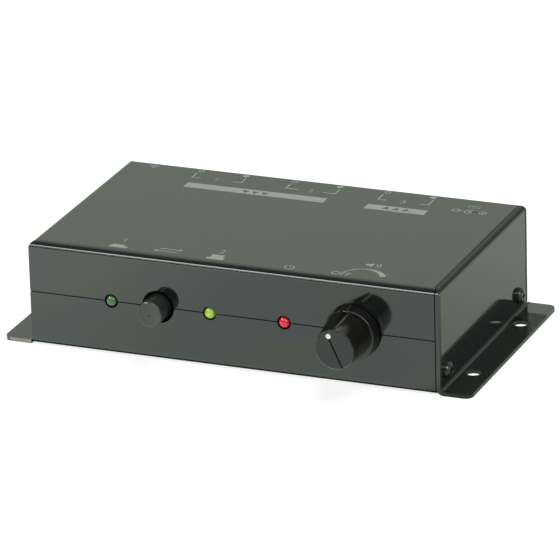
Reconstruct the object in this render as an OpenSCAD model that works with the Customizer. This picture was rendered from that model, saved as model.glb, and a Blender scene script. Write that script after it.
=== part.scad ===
// Phono preamp: a folded sheet case with mounting flanges, controls in front and sockets behind.
// The origin is the centre of the four flange holes, in the plane of the flange undersides.
// The front faces -Y, +X is to the right of someone who faces it, and +Z is up.

/* [Case] */
// Outside width of the case over its side walls
case_w = 108; // [108:1:130]
// Outside depth of the case, front face to rear face
case_d = 62.4; // [62:0.2:80]
// Outside height of the case
case_h = 27.2; // [26.4:0.2:36]
// Thickness of the folded sheet
sheet = 1; // [0.8:0.1:1.2]
// Outside radius of every fold
fold_r = 1.8; // [1.5:0.1:2]
// Height of the parting line, and of every control and socket on it
axis_z = 14; // [13.6:0.1:14.6]
// Width of the parting gap between the cover and the tray
shell_gap = 0.25; // [0.15:0.05:0.4]
// Height of the tray's side tabs
tab_h = 8.6; // [7.6:0.2:10]

/* [Mounting flanges] */
// Reach of each flange beyond the side wall
flange_w = 7.8; // [7:0.2:16]
// Corner radius of the flanges
flange_corner_r = 2; // [1:0.25:3]
// Diameter of the flange holes
flange_hole_d = 3.8; // [3:0.1:4.2]
// Distance of a flange hole's centre from the side wall
flange_hole_inset = 3.3; // [3:0.1:5]
// Distance between the two holes of one flange
flange_hole_pitch = 34; // [20:1:50]

/* [Case screws] */
// Thread diameter of the case screws
case_screw_d = 2.2; // [2:0.1:2.6]
// Head diameter of the case screws
case_screw_head_d = 4; // [3.6:0.1:5]
// Head height of the case screws
case_screw_head_h = 1.3; // [1:0.1:1.8]
// Length of the case screws under the head
case_screw_len = 4.4; // [3:0.1:4.6]
// Height of the case screws
case_screw_z = 5.1; // [4.6:0.1:6]
// Distance of the front case screws from the front face
case_screw_front = 4.4; // [4:0.1:8]
// Distance of the rear case screws from the rear face
case_screw_rear = 6.4; // [4.4:0.1:10]

/* [Lamps] */
// Place of the phono lamp across the front
phono_lamp_x = -32.1; // [-34:0.1:-29]
// Place of the aux lamp across the front
aux_lamp_x = -5.9; // [-8:0.1:4]
// Place of the power lamp across the front
power_lamp_x = 13.7; // [10:0.1:18]
// Diameter of the lamps
lamp_d = 3; // [2.6:0.1:3.4]
// How far a lamp's tip stands out of the front
lamp_proud = 0.8; // [0.4:0.1:1.6]
// Gap between a lamp and its hole
lamp_gap = 0.3; // [0.1:0.05:0.5]

/* [Select button] */
// Place of the select button across the front
select_x = -19.6; // [-21:0.1:-17]
// Diameter of the button
button_d = 6.6; // [6:0.1:7.4]
// How far the button stands out of the front
button_proud = 5.7; // [4:0.1:8]
// Travel of the button when it is pressed
button_travel = 2.5; // [1.5:0.1:2.8]
// Gap between the button and its hole
button_gap = 0.9; // [0.4:0.1:1.2]
// Depth of the dish in the button's face
button_dish = 0.3; // [0.1:0.05:0.5]

/* [Volume knob] */
// Place of the volume knob across the front
volume_x = 31.8; // [29:0.1:33]
// Length of the knob
knob_len = 12.4; // [11:0.1:16]
// Gap between the front panel and the knob's skirt
knob_gap = 0.4; // [0.3:0.1:1]
// Diameter of the skirt at the panel
skirt_d = 14; // [13.6:0.1:17]
// Diameter of the skirt at its front rim
skirt_rim_d = 13.2; // [12.6:0.1:13.4]
// Height of the skirt
skirt_h = 3.2; // [2.6:0.1:4]
// Diameter of the grip where it leaves the skirt
grip_base_d = 11.3; // [10.6:0.1:12]
// Diameter of the grip at the face
grip_face_d = 10.1; // [9.6:0.1:10.6]
// Width of the pointer rib along the grip
rib_w = 3.2; // [2:0.1:4]
// Angle of the pointer to the left of the top, with the volume as it stands
pointer_deg = 24.6; // [0:0.1:60]

/* [Volume control] */
// Diameter of the shaft
shaft_d = 6; // [5:0.1:6.2]
// Wall of the bushing round the shaft
bushing_wall = 0.56; // [0.4:0.02:0.7]
// Running clearance of the shaft in its bushing
shaft_clear = 0.04; // [0.02:0.01:0.08]
// Width of the volume control
pot_w = 11; // [10.6:0.1:12]
// Depth of the volume control's can
pot_depth = 7; // [6.6:0.1:8]
// Depth of the power switch behind the can
power_depth = 6; // [5.6:0.1:7]

/* [Rear sockets] */
// Place of the ground terminal across the rear
ground_x = -45; // [-45.4:0.1:-44]
// Place of the phono input pair
phono_x = -26.2; // [-26.6:0.1:-25.6]
// Place of the aux input pair
aux_x = -0.8; // [-1.4:0.1:-0.2]
// Place of the output pair
output_x = 24.6; // [24:0.1:25]
// Place of the power inlet
dc_x = 43.3; // [43:0.1:43.6]
// Distance between the two sockets of a pair
jack_pitch = 14; // [13:0.1:14.2]
// Outside diameter of a socket's shell
jack_d = 8.3; // [8.1:0.1:8.5]
// Wall of a socket's shell
jack_wall = 0.6; // [0.4:0.05:0.8]
// Bore of a socket's centre contact
jack_bore_d = 3.24; // [3.2:0.02:3.3]
// How far a socket stands out of the rear
jack_proud = 8.6; // [7:0.1:10]
// Bore of the power inlet
dc_bore_d = 6.3; // [6:0.1:6.5]
// Diameter of the power inlet's centre pin
dc_pin_d = 2.1; // [1.7:0.1:2.5]

/* [Ground terminal] */
// Thread diameter of the ground screw
ground_screw_d = 3.9; // [3:0.1:4]
// Diameter of the ground screw's knurled head
ground_head_d = 9; // [8:0.1:10]
// Height of the ground screw's head
ground_head_h = 5; // [4:0.1:7]
// Thickness of the washer
washer_t = 0.8; // [0.5:0.1:1.2]

/* [Board] */
// Thickness of the circuit board
board_t = 1.6; // [1.2:0.1:1.8]
// Height of the standoffs under the board
standoff_h = 4.4; // [4:0.1:4.8]
// Gap from each side tab to the board's edge
board_side_gap = 3.25; // [3:0.05:5]

/* [Hidden] */
$fn = 64;
front_y = -case_d / 2;
rear_y = case_d / 2;
side_in = case_w / 2 - sheet;
lip_x = side_in - shell_gap;
lap_back = front_y + sheet + shell_gap;
fold_in = fold_r - sheet;
beyond = 1;

board_bottom = sheet + standoff_h;
board_top = board_bottom + board_t;
board_x = lip_x - sheet - board_side_gap;
board_end_gap = 1.1;
board_front = front_y + sheet + board_end_gap;
board_rear = rear_y - sheet - board_end_gap;
// Depth of the board's top under the control axis
drop = axis_z - board_top;

tab_end_gap = 0.8;
tab_y = case_d / 2 - fold_r - tab_end_gap;
flange_hole_x = case_w / 2 + flange_hole_inset;
case_screw_y = [front_y + case_screw_front, rear_y - case_screw_rear];
screw_slack = 0.25;
thread_clear = 0.03;

board_screw_d = 2.9;
board_screw_head_d = 5.2;
board_screw_head_h = 1.9;
board_screw_under = 1;
board_screw_inset = 3.5;
board_screw_front = 4.7;
board_screw_rear = 18.2;
board_screw_x = board_x - board_screw_inset;
board_screw_y = [board_front + board_screw_front, rear_y - board_screw_rear];
standoff_d = 6;

leg_stick = 1.5;
leg_z = board_bottom - leg_stick;
leg_r = 0.3;
leg_clear = 0.12;

lamp_len = 5.3;
lamp_flange_lip = 0.4;
lamp_flange_d = lamp_d + 2 * lamp_flange_lip;
lamp_flange_h = 1;
lamp_pitch = 2.54;
// Depth of a lamp's base behind the front face
lamp_base = lamp_len - lamp_proud;
holder_w = 5.2;
holder_d = 5;
holder_wall = 1.2;
lead_clear = 0.3;
lamp_lead_back = 3;

stem = 3;
slide_clear = 0.15;
button_back = 3.5;
button_edge = 0.5;
button_roof = 2.4;
stem_end_gap = 0.1;
// Depths behind the front face of the select switch's parts
frame_gap = 0.7;
frame_front = button_back + button_travel + frame_gap;
frame_wall = 1.2;
frame_len = 15;
frame_w = 9.2;
frame_roof = 1.6;
slider_room = 0.4;
slider_len = 5.5;
slider_w = 6;
slider_h = 5.2;
slider_gap = 0.1;
slider_front = frame_front + frame_wall + slider_gap;
slider_back = slider_front + slider_len;
cavity_back = frame_front + frame_len - frame_wall;
latch_r = 0.3;
latch_clear = 0.1;
latch_slot_w = 1.4;
latch_slot_len = 1.2;
latch_set = 3.9;
latch_tail = 1.8;
latch_at = slider_front + latch_set;
latch_end = cavity_back - latch_tail;
// Heights over the control's axis: the top of the slider's room, and of the frame
slider_top = slider_h / 2 + slider_room;
frame_top = slider_top + frame_roof;
pin_clear = 0.05;
first_pin_set = 2;
first_pin = slider_front + first_pin_set;
latch_pocket_w = 2.4;
latch_pocket_h = 1;
switch_pin_pitch = 2.5;
switch_pin_x = 2;
spring_r = 1.6;
spring_wire_r = 0.2;
spring_turns = 7;

shaft_r = shaft_d / 2;
shaft_cut = 1.4;
shaft_flat = shaft_r - shaft_cut;
shaft_fit = 0.02;
bushing_r = shaft_r + shaft_clear + bushing_wall;
bushing_proud = 1.9;
bushing_hole_gap = 0.3;
knob_roof = 2;
knob_bore_gap = 1;
knob_recess_h = bushing_proud - knob_gap + knob_bore_gap;
pot_gap = 0.6;
pot_top = 6;
pot_wall = 0.6;
pot_pin_pitch = 2.5;
power_pin_pitch = 5;
track_t = 0.8;
rotor_r = 4.2;
rotor_t = 1.6;
tail_r = 1.5;
cam_r = 2.4;
cam_reach = 4;
// Angle from the pointer's low end to the top
low_turn = 150;
cam_t = 1.8;
cam_room = 0.6;
cam_gap = 0.4;
blade_w = 5.8;
blade_t = 0.3;
cam_swing_gap = 0.5;
// Radius of the room that the cam turns in
cam_swing = cam_reach + cam_swing_gap;
// Height of the blade's seat over the shaft's axis
blade_top = cam_swing + 1.5 * blade_t;
rotor_gap = 0.3;
shaft_end_gap = 0.5;
shaft_hole_gap = 0.15;
// Depths behind the front face of the volume control's parts
pot_front = sheet + pot_gap;
rotor_front = pot_front + pot_wall + track_t + rotor_gap;
pot_back = pot_front + pot_depth;
cam_front = pot_back + cam_room;
cam_back = cam_front + cam_t;
cam_cavity_back = cam_back + cam_gap;
power_back = pot_back + power_depth;

jack_gap = 0.1;
jack_in = sheet + jack_gap;
jack_block_d = 10;
jack_side = 5;
jack_top = 5.5;
jack_seat = 6;
jack_collar_gap = 0.1;
jack_root_step = 0.25;
jack_hole_gap = 0.35;
insert_inset = 0.5;
contact_wall = 0.45;
contact_floor = 0.6;
// Depths behind the block's face of a socket's two solder tags
tag_depths = [2.5, 7.5];
contact_inset = 0.8;
press_clear = 0.03;
tag_w = 1;
tag_t = 0.5;

dc_w = 9;
dc_d = 13.5;
dc_top = 4.5;
dc_nose_r = 4.3;
dc_nose_gap = 0.3;
dc_nose_proud = 0.3;
dc_bore_len = 9.5;
dc_pin_seat = 2.5;
dc_pin_root_step = 0.4;
dc_leaf_w = 1.9;
dc_leaf_t = 0.35;
dc_leaf_len = 7;
// Depth of the leaf's groove under the inlet's axis
dc_groove = dc_bore_d / 2 + 0.4;
dc_tags = [[0, -4], [0, -10], [-3, -7]];
dc_pin_inset = 1.2;

ground_post_w = 7;
ground_post_d = 8;
ground_post_top = 4;
ground_leg_reach = 2;
ground_leg_r = 0.6;
ground_hole_gap = 0.65;
ground_clear = 0.05;
ground_screw_len = 9;
washer_clear = 0.2;
knurls = 24;

// Centres of the sockets, left and right of each pair as seen from the rear
pairs = [phono_x, aux_x, output_x];
lamps = [phono_lamp_x, aux_lamp_x, power_lamp_x];

// Sizes of the parts on the board
part_stand = 0.3;
chip_len = 9.6;
chip_w = 6.4;
chip_h = 3.3;
chip_stand = 0.6;
chip_pitch = 2.54;
chip_row = 7.62;
supply_d = 8;
supply_h = 11.5;
supply_pitch = 3.5;
coupling_d = 5;
coupling_h = 11;
coupling_pitch = 2;
film_len = 7.2;
film_w = 3;
film_h = 6.5;
film_pitch = 5;
ceramic_d = 6;
ceramic_t = 2;
ceramic_rise = 4.4;
ceramic_pitch = 5;
axial_gap = 0.1;
resistor_d = 2.3;
resistor_len = 6.3;
resistor_span = 10;
diode_d = 2.7;
diode_len = 5.2;
diode_span = 10;
regulator_r = 2.4;
regulator_h = 4.8;
regulator_flat = 1.3;
regulator_stand = 2;
regulator_pitch = 1.27;

// Rows of parts on the board: three behind the front controls, and the rest before the sockets
row_gap = 1;
resistor_first = -11;
resistor_step = 3.6;
resistor_count = 10;
resistor_y = front_y + lamp_base + holder_d + row_gap + resistor_span / 2;
supply_y = front_y + power_back + row_gap + supply_d / 2;
supply_caps = [[33, supply_y], [42.5, supply_y]];
ceramic_front = 14.5;
ceramic_step = 4;
ceramic_y = [front_y + ceramic_front, front_y + ceramic_front + ceramic_step];
ceramic_x = [-40, -31];
ceramic_caps = [for (x = ceramic_x, y = ceramic_y) [x, y]];
coupling_y = rear_y - jack_in - jack_block_d - 2 * row_gap - coupling_d / 2;
coupling_front = coupling_y - coupling_d / 2;
chip_y = coupling_front - row_gap - chip_len / 2;
chips = [[phono_x, chip_y], [aux_x, chip_y]];
film_y = coupling_front - row_gap - film_w / 2;
film_x = [-36.5, -14, 12.4, 22];
film_caps = [for (x = film_x) [x, film_y]];
regulator_y = coupling_front - 4 * row_gap - regulator_r;
regulator_at = [33, regulator_y];
diode_at = [31.5, regulator_y - regulator_r - row_gap - diode_d / 2];

// ---- Helpers ----

module block(x, y, z) {
    translate([x[0], y[0], z[0]]) cube([x[1] - x[0], y[1] - y[0], z[1] - z[0]]);
}

module x_rod(r, from, to) {
    translate([from, 0, 0]) rotate([0, 90, 0]) cylinder(r = r, h = to - from);
}

module y_rod(r, from, to) {
    translate([0, from, 0]) rotate([-90, 0, 0]) cylinder(r = r, h = to - from);
}

module z_rod(r, from, to) {
    translate([0, 0, from]) cylinder(r = r, h = to - from);
}

module both_sides() {
    children();
    mirror([1, 0, 0]) children();
}

// Frame of a control: origin on the front face, Z out of the panel, Y up
module control_at(x) {
    translate([x, front_y, axis_z]) rotate([90, 0, 0]) children();
}

// Frame of a socket: origin on the rear face, Z out of the panel, Y up
module socket_at(x) {
    translate([x, rear_y, axis_z]) rotate([90, 0, 180]) children();
}

// Leg of a part, from under the board up to its top face
module leg(x, y, r, grow = 0) {
    top = grow > 0 ? beyond : 0;
    translate([x, y, leg_z]) cylinder(r = r + grow, h = board_top + top - leg_z);
}

module quarter_ring(r, wall) {
    intersection() {
        difference() {
            circle(r = r);
            circle(r = r - wall);
        }
        square(r);
    }
}

// Half outline of a turned piece: a plain corner replaced by an arc of radius edge
module turned_outline(r, h, edge) {
    square([r, h - edge]);
    square([r - edge, h]);
    translate([r - edge, h - edge]) intersection() {
        circle(r = edge);
        square(edge);
    }
}

module cross_recess(width, slot, depth, top) {
    for (turn = [0, 90]) {
        rotate(turn) translate([-width / 2, -slot / 2, top - depth]) cube([width, slot, depth + beyond]);
    }
}

// Pan head screw along Z, with its head above the origin
module pan_screw(head_d, head_h, thread_d, length) {
    difference() {
        union() {
            rotate_extrude() turned_outline(head_d / 2, head_h, head_h * 0.6);
            translate([0, 0, -length]) cylinder(d = thread_d, h = length);
        }
        cross_recess(head_d * 0.56, head_d * 0.13, head_h * 0.55, head_h);
    }
}

// ---- Case ----

// Outline of the cover with its upper corners folded round
module lid_outline(width, from, to, r) {
    translate([-width / 2, from]) square([width, to - r - from]);
    translate([-width / 2 + r, from]) square([width - 2 * r, to - from]);
    for (side = [-1, 1]) {
        translate([side * (width / 2 - r), to - r]) circle(r = r);
    }
}

module lid_block(inset, from) {
    width = case_w - 2 * inset;
    depth = case_d - 2 * inset;
    top = case_h - inset;
    intersection() {
        rotate([90, 0, 0]) linear_extrude(depth, center = true) {
            lid_outline(width, from, top, fold_r - inset);
        }
        rotate([90, 0, 90]) linear_extrude(width, center = true) {
            lid_outline(depth, from, top, fold_r - inset);
        }
    }
}

module flange_outline() {
    reach = flange_w - fold_in;
    translate([case_w / 2 + fold_in, front_y]) {
        square([reach - flange_corner_r, case_d]);
        translate([0, flange_corner_r]) square([reach, case_d - 2 * flange_corner_r]);
        for (y = [flange_corner_r, case_d - flange_corner_r]) {
            translate([reach - flange_corner_r, y]) circle(r = flange_corner_r);
        }
    }
}

// The side wall's foot turned outward, with the flange beyond it
module flange() {
    translate([case_w / 2 + fold_in, 0, fold_r]) rotate([90, 0, 0]) {
        linear_extrude(case_d, center = true) rotate(180) quarter_ring(fold_r, sheet);
    }
    linear_extrude(sheet) flange_outline();
}

module front_holes() {
    from = -sheet - beyond;
    for (x = lamps) {
        control_at(x) z_rod(lamp_d / 2 + lamp_gap, from, beyond);
    }
    control_at(select_x) z_rod(button_d / 2 + button_gap, from, beyond);
    control_at(volume_x) z_rod(bushing_r + bushing_hole_gap, from, beyond);
}

module rear_holes() {
    from = -sheet - beyond;
    for (x = pairs, side = [-1, 1]) {
        socket_at(x + side * jack_pitch / 2) z_rod(jack_d / 2 + jack_hole_gap, from, beyond);
    }
    socket_at(dc_x) z_rod(dc_nose_r + dc_nose_gap, from, beyond);
    socket_at(ground_x) z_rod(ground_screw_d / 2 + ground_hole_gap, from, beyond);
}

// A front wall's left end and a rear wall's right end lap over the side walls
module both_laps() {
    for (turn = [0, 180]) {
        rotate(turn) children();
    }
}

// A slit through the folds parts the end of the cover's front wall from the right side wall
module lip_slit() {
    block([lip_x, side_in], [front_y - beyond, front_y + fold_r], [axis_z, case_h + beyond]);
}

// The left side wall and its flange stand back behind the front walls that lap over it
module lap_slit() {
    left = -case_w / 2;
    block([left - beyond, -lip_x], [lap_back - shell_gap, lap_back], [axis_z, case_h + beyond]);
    block([left - shell_gap, -lip_x], [front_y - beyond, lap_back], [-beyond, axis_z + shell_gap / 2]);
}

module top_cover() {
    color("#1c1e1c") difference() {
        union() {
            difference() {
                lid_block(0, fold_r);
                lid_block(sheet, -beyond);
                // The tray closes the lower half of the front and the rear
                block([-side_in, side_in], [-case_d, case_d], [-beyond, axis_z + shell_gap / 2]);
                both_laps() lip_slit();
            }
            both_sides() flange();
        }
        both_laps() lap_slit();
        front_holes();
        rear_holes();
        both_sides() {
            for (y = case_screw_y) {
                translate([0, y, case_screw_z]) {
                    x_rod(case_screw_d / 2 + screw_slack, side_in - beyond, case_w / 2 + beyond);
                }
            }
            for (y = [-1, 1] * flange_hole_pitch / 2) {
                translate([flange_hole_x, y, 0]) z_rod(flange_hole_d / 2, -beyond, sheet + beyond);
            }
        }
    }
}

// Floor of the tray with its front and rear walls folded up
module tray_outline() {
    translate([front_y + fold_r, 0]) square([case_d - 2 * fold_r, sheet]);
    for (end = [0, 1]) {
        mirror([end, 0]) {
            translate([front_y + fold_r, fold_r]) rotate(180) quarter_ring(fold_r, sheet);
            translate([front_y, fold_r]) square([sheet, axis_z - shell_gap / 2 - fold_r]);
        }
    }
}

// End of the tray's front wall that laps over the cover's left side wall
module tray_lap() {
    intersection() {
        rotate([90, 0, 90]) linear_extrude(case_w, center = true) tray_outline();
        block([-case_w / 2, sheet - lip_x], [front_y, front_y + sheet], [-beyond, axis_z]);
    }
}

module side_tab() {
    translate([lip_x - fold_r, 0, fold_r]) rotate([90, 0, 0]) {
        linear_extrude(2 * tab_y, center = true) rotate(-90) quarter_ring(fold_r, sheet);
    }
    block([lip_x - sheet, lip_x], [-tab_y, tab_y], [fold_r, tab_h]);
}

module bottom_chassis() {
    color("#1c1e1c") difference() {
        union() {
            difference() {
                rotate([90, 0, 90]) linear_extrude(2 * lip_x, center = true) tray_outline();
                both_sides() {
                    block([lip_x - fold_r, lip_x + beyond], [-tab_y, tab_y], [-beyond, sheet + beyond]);
                }
            }
            both_laps() tray_lap();
            both_sides() side_tab();
        }
        front_holes();
        rear_holes();
        both_sides() for (y = case_screw_y) {
            translate([0, y, case_screw_z]) {
                x_rod(case_screw_d / 2 + thread_clear, lip_x - sheet - beyond, lip_x + beyond);
            }
        }
    }
}

module cover_screws() {
    color("#161716") both_sides() for (y = case_screw_y) {
        translate([case_w / 2, y, case_screw_z]) rotate([0, 90, 0]) {
            pan_screw(case_screw_head_d, case_screw_head_h, case_screw_d, case_screw_len);
        }
    }
}

// ---- Board ----

module board_screw_places() {
    for (x = [-1, 1] * board_screw_x, y = board_screw_y) {
        translate([x, y, 0]) children();
    }
}

module main_board() {
    color("#2f6b3a") difference() {
        block([-board_x, board_x], [board_front, board_rear], [board_bottom, board_top]);
        board_screw_places() {
            z_rod(board_screw_d / 2 + screw_slack, board_bottom - beyond, board_top + beyond);
        }
        lamp_legs(leg_clear);
        pot_legs(leg_clear);
        power_legs(leg_clear);
        switch_legs(leg_clear);
        jack_legs(leg_clear);
        dc_legs(leg_clear);
        ground_legs(leg_clear);
        for (at = chips) {
            translate(at) rotate(90) chip_legs(leg_clear);
        }
        for (at = supply_caps) {
            translate(at) pair_of_legs(supply_pitch, leg_clear);
        }
        coupling_places() pair_of_legs(coupling_pitch, leg_clear);
        for (at = film_caps) {
            translate(at) pair_of_legs(film_pitch, leg_clear);
        }
        for (at = ceramic_caps) {
            translate(at) pair_of_legs(ceramic_pitch, leg_clear);
        }
        resistor_places() pair_of_legs(resistor_span, leg_clear);
        translate(diode_at) pair_of_legs(diode_span, leg_clear);
        translate(regulator_at) regulator_legs(leg_clear);
    }
}

module board_standoffs() {
    color("#b9bcb8") board_screw_places() difference() {
        translate([0, 0, sheet]) cylinder(d = standoff_d, h = standoff_h, $fn = 6);
        z_rod(board_screw_d / 2 + thread_clear, sheet - beyond, board_bottom + beyond);
    }
}

module board_screws() {
    length = board_top - sheet - board_screw_under;
    color("#c9ccc8") board_screw_places() translate([0, 0, board_top]) {
        pan_screw(board_screw_head_d, board_screw_head_h, board_screw_d, length);
    }
}

// ---- Volume knob and control ----

module volume_at() {
    control_at(volume_x) rotate(pointer_deg) children();
}

// Section of the shaft's flatted end
module shaft_section(grow) {
    r = shaft_r + grow;
    intersection() {
        circle(r = r);
        translate([-r, -r]) square([2 * r, r + shaft_flat + grow]);
    }
}

module knob_outline() {
    edge = 0.35;
    base = skirt_d / 2;
    rim = skirt_rim_d / 2;
    grip = grip_base_d / 2;
    face = grip_face_d / 2;
    polygon([[0, 0], [base - edge, 0], [base, edge], [rim, skirt_h - edge], [rim - edge, skirt_h],
        [grip, skirt_h], [face, knob_len - edge], [0, knob_len - edge]]);
    square([face - edge, knob_len]);
    for (corner = [[face - edge, knob_len - edge], [rim - edge, skirt_h - edge]]) {
        translate(corner) circle(r = edge);
    }
}

// Raised pointer that runs from the skirt's rim to the face
module pointer_rib() {
    foot = skirt_rim_d / 2 - 0.1;
    root = grip_face_d / 4;
    rotate([90, 0, 90]) linear_extrude(rib_w, center = true) {
        polygon([[root, skirt_h - 0.6], [foot, skirt_h - 0.6], [foot, skirt_h + 0.1],
            [grip_face_d / 2 + 0.05, knob_len], [root, knob_len]]);
    }
}

module volume_knob() {
    dot_r = 0.7;
    dot_at = grip_face_d / 2 - 1.4;
    dot_depth = 0.35;
    groove_w = 0.5;
    color("#191b1a") volume_at() translate([0, 0, knob_gap]) difference() {
        union() {
            rotate_extrude() knob_outline();
            pointer_rib();
        }
        z_rod(bushing_r + knob_bore_gap, -beyond, knob_recess_h);
        linear_extrude(knob_len - knob_roof) shaft_section(shaft_fit);
        translate([0, dot_at, 0]) z_rod(dot_r, knob_len - dot_depth, knob_len + beyond);
        block([-groove_w, groove_w] / 2, [-grip_face_d, dot_at],
            [knob_len - dot_depth, knob_len + beyond]);
    }
}

module pot_shaft() {
    front = knob_gap + knob_len - knob_roof - shaft_end_gap;
    flat_len = front - knob_gap - knob_recess_h + shaft_end_gap;
    rotor_back = rotor_front + rotor_t;
    color("#c8cac6") volume_at() {
        translate([0, 0, front - flat_len]) linear_extrude(flat_len) shaft_section(0);
        z_rod(shaft_r, -rotor_back, front - flat_len);
        z_rod(tail_r, -cam_back, -rotor_back);
    }
}

module pot_bushing() {
    color("#b7b9b2") control_at(volume_x) difference() {
        z_rod(bushing_r, -pot_front, bushing_proud);
        z_rod(shaft_r + shaft_clear, -pot_front - beyond, bushing_proud + beyond);
    }
}

module pot_case() {
    color("#a9aca8") control_at(volume_x) difference() {
        block([-pot_w / 2, pot_w / 2], [-drop, pot_top], [-pot_back, -pot_front]);
        block([-pot_w / 2 + pot_wall, pot_w / 2 - pot_wall], [-drop + pot_wall, pot_top - pot_wall],
            [-pot_back - beyond, -pot_front - pot_wall]);
        z_rod(shaft_r + shaft_hole_gap, -pot_back, -pot_front + beyond);
    }
}

module pot_track() {
    inside = pot_wall + press_clear;
    from = pot_front + pot_wall;
    color("#7a4f2a") control_at(volume_x) difference() {
        block([-pot_w / 2 + inside, pot_w / 2 - inside], [-drop + inside, pot_top - inside],
            [-from - track_t, -from]);
        z_rod(shaft_r + shaft_hole_gap, -from - track_t - beyond, beyond);
    }
}

module pot_rotor() {
    color("#26282a") volume_at() difference() {
        z_rod(rotor_r, -rotor_front - rotor_t, -rotor_front);
        z_rod(shaft_r + shaft_fit, -rotor_front - rotor_t - beyond, beyond);
    }
}

module pot_legs(grow = 0) {
    for (x = [-pot_pin_pitch, 0, pot_pin_pitch]) {
        leg(volume_x + x, front_y + pot_front + pot_depth / 2, leg_r, grow);
    }
}

module pot_pins() {
    color("#c9ccc8") pot_legs();
}

module power_switch_case() {
    recess = blade_w / 2 + pin_clear;
    color("#202224") control_at(volume_x) difference() {
        block([-pot_w / 2, pot_w / 2], [-drop, pot_top], [-power_back, -pot_back]);
        z_rod(cam_swing, -cam_cavity_back, -pot_back + beyond);
        block([-recess, recess], [0, blade_top], [-cam_cavity_back, -pot_back + beyond]);
    }
}

// Rotor of the power switch, its lobe under the contact at the low end of the turn
module power_switch_cam() {
    lobe = cam_r / 3;
    color("#d8d4c4") volume_at() difference() {
        union() {
            z_rod(cam_r, -cam_back, -cam_front);
            rotate(-low_turn) block([-lobe, lobe], [0, cam_reach], [-cam_back, -cam_front]);
        }
        z_rod(tail_r + shaft_fit, -cam_back - beyond, beyond);
    }
}

module power_switch_blade() {
    color("#c58a3c") control_at(volume_x) {
        block([-blade_w, blade_w] / 2, [blade_top - blade_t, blade_top], [-cam_back, -cam_front]);
    }
}

module power_legs(grow = 0) {
    for (side = [-1, 1]) {
        leg(volume_x + side * power_pin_pitch / 2, front_y + pot_back + power_depth / 2, leg_r, grow);
    }
}

module power_switch_pins() {
    color("#c9ccc8") power_legs();
}

// ---- Select button and switch ----

module select_button() {
    r = button_d / 2;
    len = button_proud + button_back;
    dish_r = (r * r + button_dish * button_dish) / (2 * button_dish);
    socket = stem / 2 + shaft_fit;
    color("#1d1f1e") control_at(select_x) translate([0, 0, -button_back]) difference() {
        rotate_extrude() turned_outline(r, len, button_edge);
        translate([0, 0, len + dish_r - button_dish]) sphere(r = dish_r, $fn = 200);
        block([-socket, socket], [-socket, socket], [-beyond, len - button_roof]);
    }
}

module switch_plunger() {
    pocket = latch_r + latch_clear;
    color("#e6e2d2") control_at(select_x) difference() {
        union() {
            block([-stem, stem] / 2, [-stem, stem] / 2,
                [-slider_front, button_proud - button_roof - stem_end_gap]);
            block([-slider_w, slider_w] / 2, [-slider_h, slider_h] / 2, [-slider_back, -slider_front]);
        }
        block([-latch_pocket_w, latch_pocket_w] / 2, [slider_h / 2 - latch_pocket_h, slider_h],
            [-latch_at - pocket, -latch_at + pocket + button_travel]);
    }
}

module switch_frame() {
    open = stem / 2 + slide_clear;
    room_x = slider_w / 2 + slide_clear;
    top = frame_top + beyond;
    wall_back = frame_front + frame_wall;
    color("#222426") control_at(select_x) difference() {
        block([-frame_w, frame_w] / 2, [-drop, frame_top], [-frame_front - frame_len, -frame_front]);
        block([-room_x, room_x], [-slider_top, slider_top], [-cavity_back, -wall_back]);
        block([-open, open], [-open, open], [-wall_back - beyond, -frame_front + beyond]);
        // Slot for the latch's front leg, and the hole for its rear leg
        block([-latch_slot_w, latch_slot_w] / 2, [0, top],
            [-latch_at, -latch_at] + [-latch_slot_len, latch_slot_len] / 2);
        translate([0, 0, -latch_end]) rotate([-90, 0, 0]) z_rod(latch_r + pin_clear, 0, top);
        switch_pin_places() rotate([90, 0, 0]) z_rod(leg_r + pin_clear, 0, drop + beyond);
    }
}

// Places of the select switch's six pins, in the control's frame
module switch_pin_places() {
    for (x = [-1, 1] * switch_pin_x, step = [0, 1, 2]) {
        translate([x, 0, -first_pin - step * switch_pin_pitch]) children();
    }
}

// Hairpin wire that holds the plunger in, its front leg in the plunger's pocket
module switch_latch() {
    top = frame_top + latch_r;
    low = slider_h / 2 - latch_pocket_h + latch_r;
    color("#c9ccc8") control_at(select_x) {
        translate([0, 0, -latch_at]) rotate([-90, 0, 0]) z_rod(latch_r, low, top);
        translate([0, 0, -latch_end]) rotate([-90, 0, 0]) z_rod(latch_r, slider_top, top);
        translate([0, top, 0]) z_rod(latch_r, -latch_end, -latch_at);
        for (z = [-latch_at, -latch_end]) {
            translate([0, top, z]) sphere(r = latch_r);
        }
    }
}

module switch_wipers() {
    under = slider_h / 2;
    half = 0.5;
    thick = 0.3;
    overlap = 0.8;
    color("#d0a04c") control_at(select_x) for (x = [-1, 1] * switch_pin_x) {
        block([x - half, x + half], [-under - thick, -under],
            [-first_pin - switch_pin_pitch - overlap, -first_pin + overlap]);
    }
}

module switch_legs(grow = 0) {
    for (x = [-1, 1] * switch_pin_x, step = [0, 1, 2]) {
        leg(select_x + x, front_y + first_pin + step * switch_pin_pitch, leg_r, grow);
    }
}

module switch_pins() {
    color("#c9ccc8") {
        switch_legs();
        control_at(select_x) switch_pin_places() rotate([-90, 0, 0]) z_rod(leg_r, -drop, -slider_top);
    }
}

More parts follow.
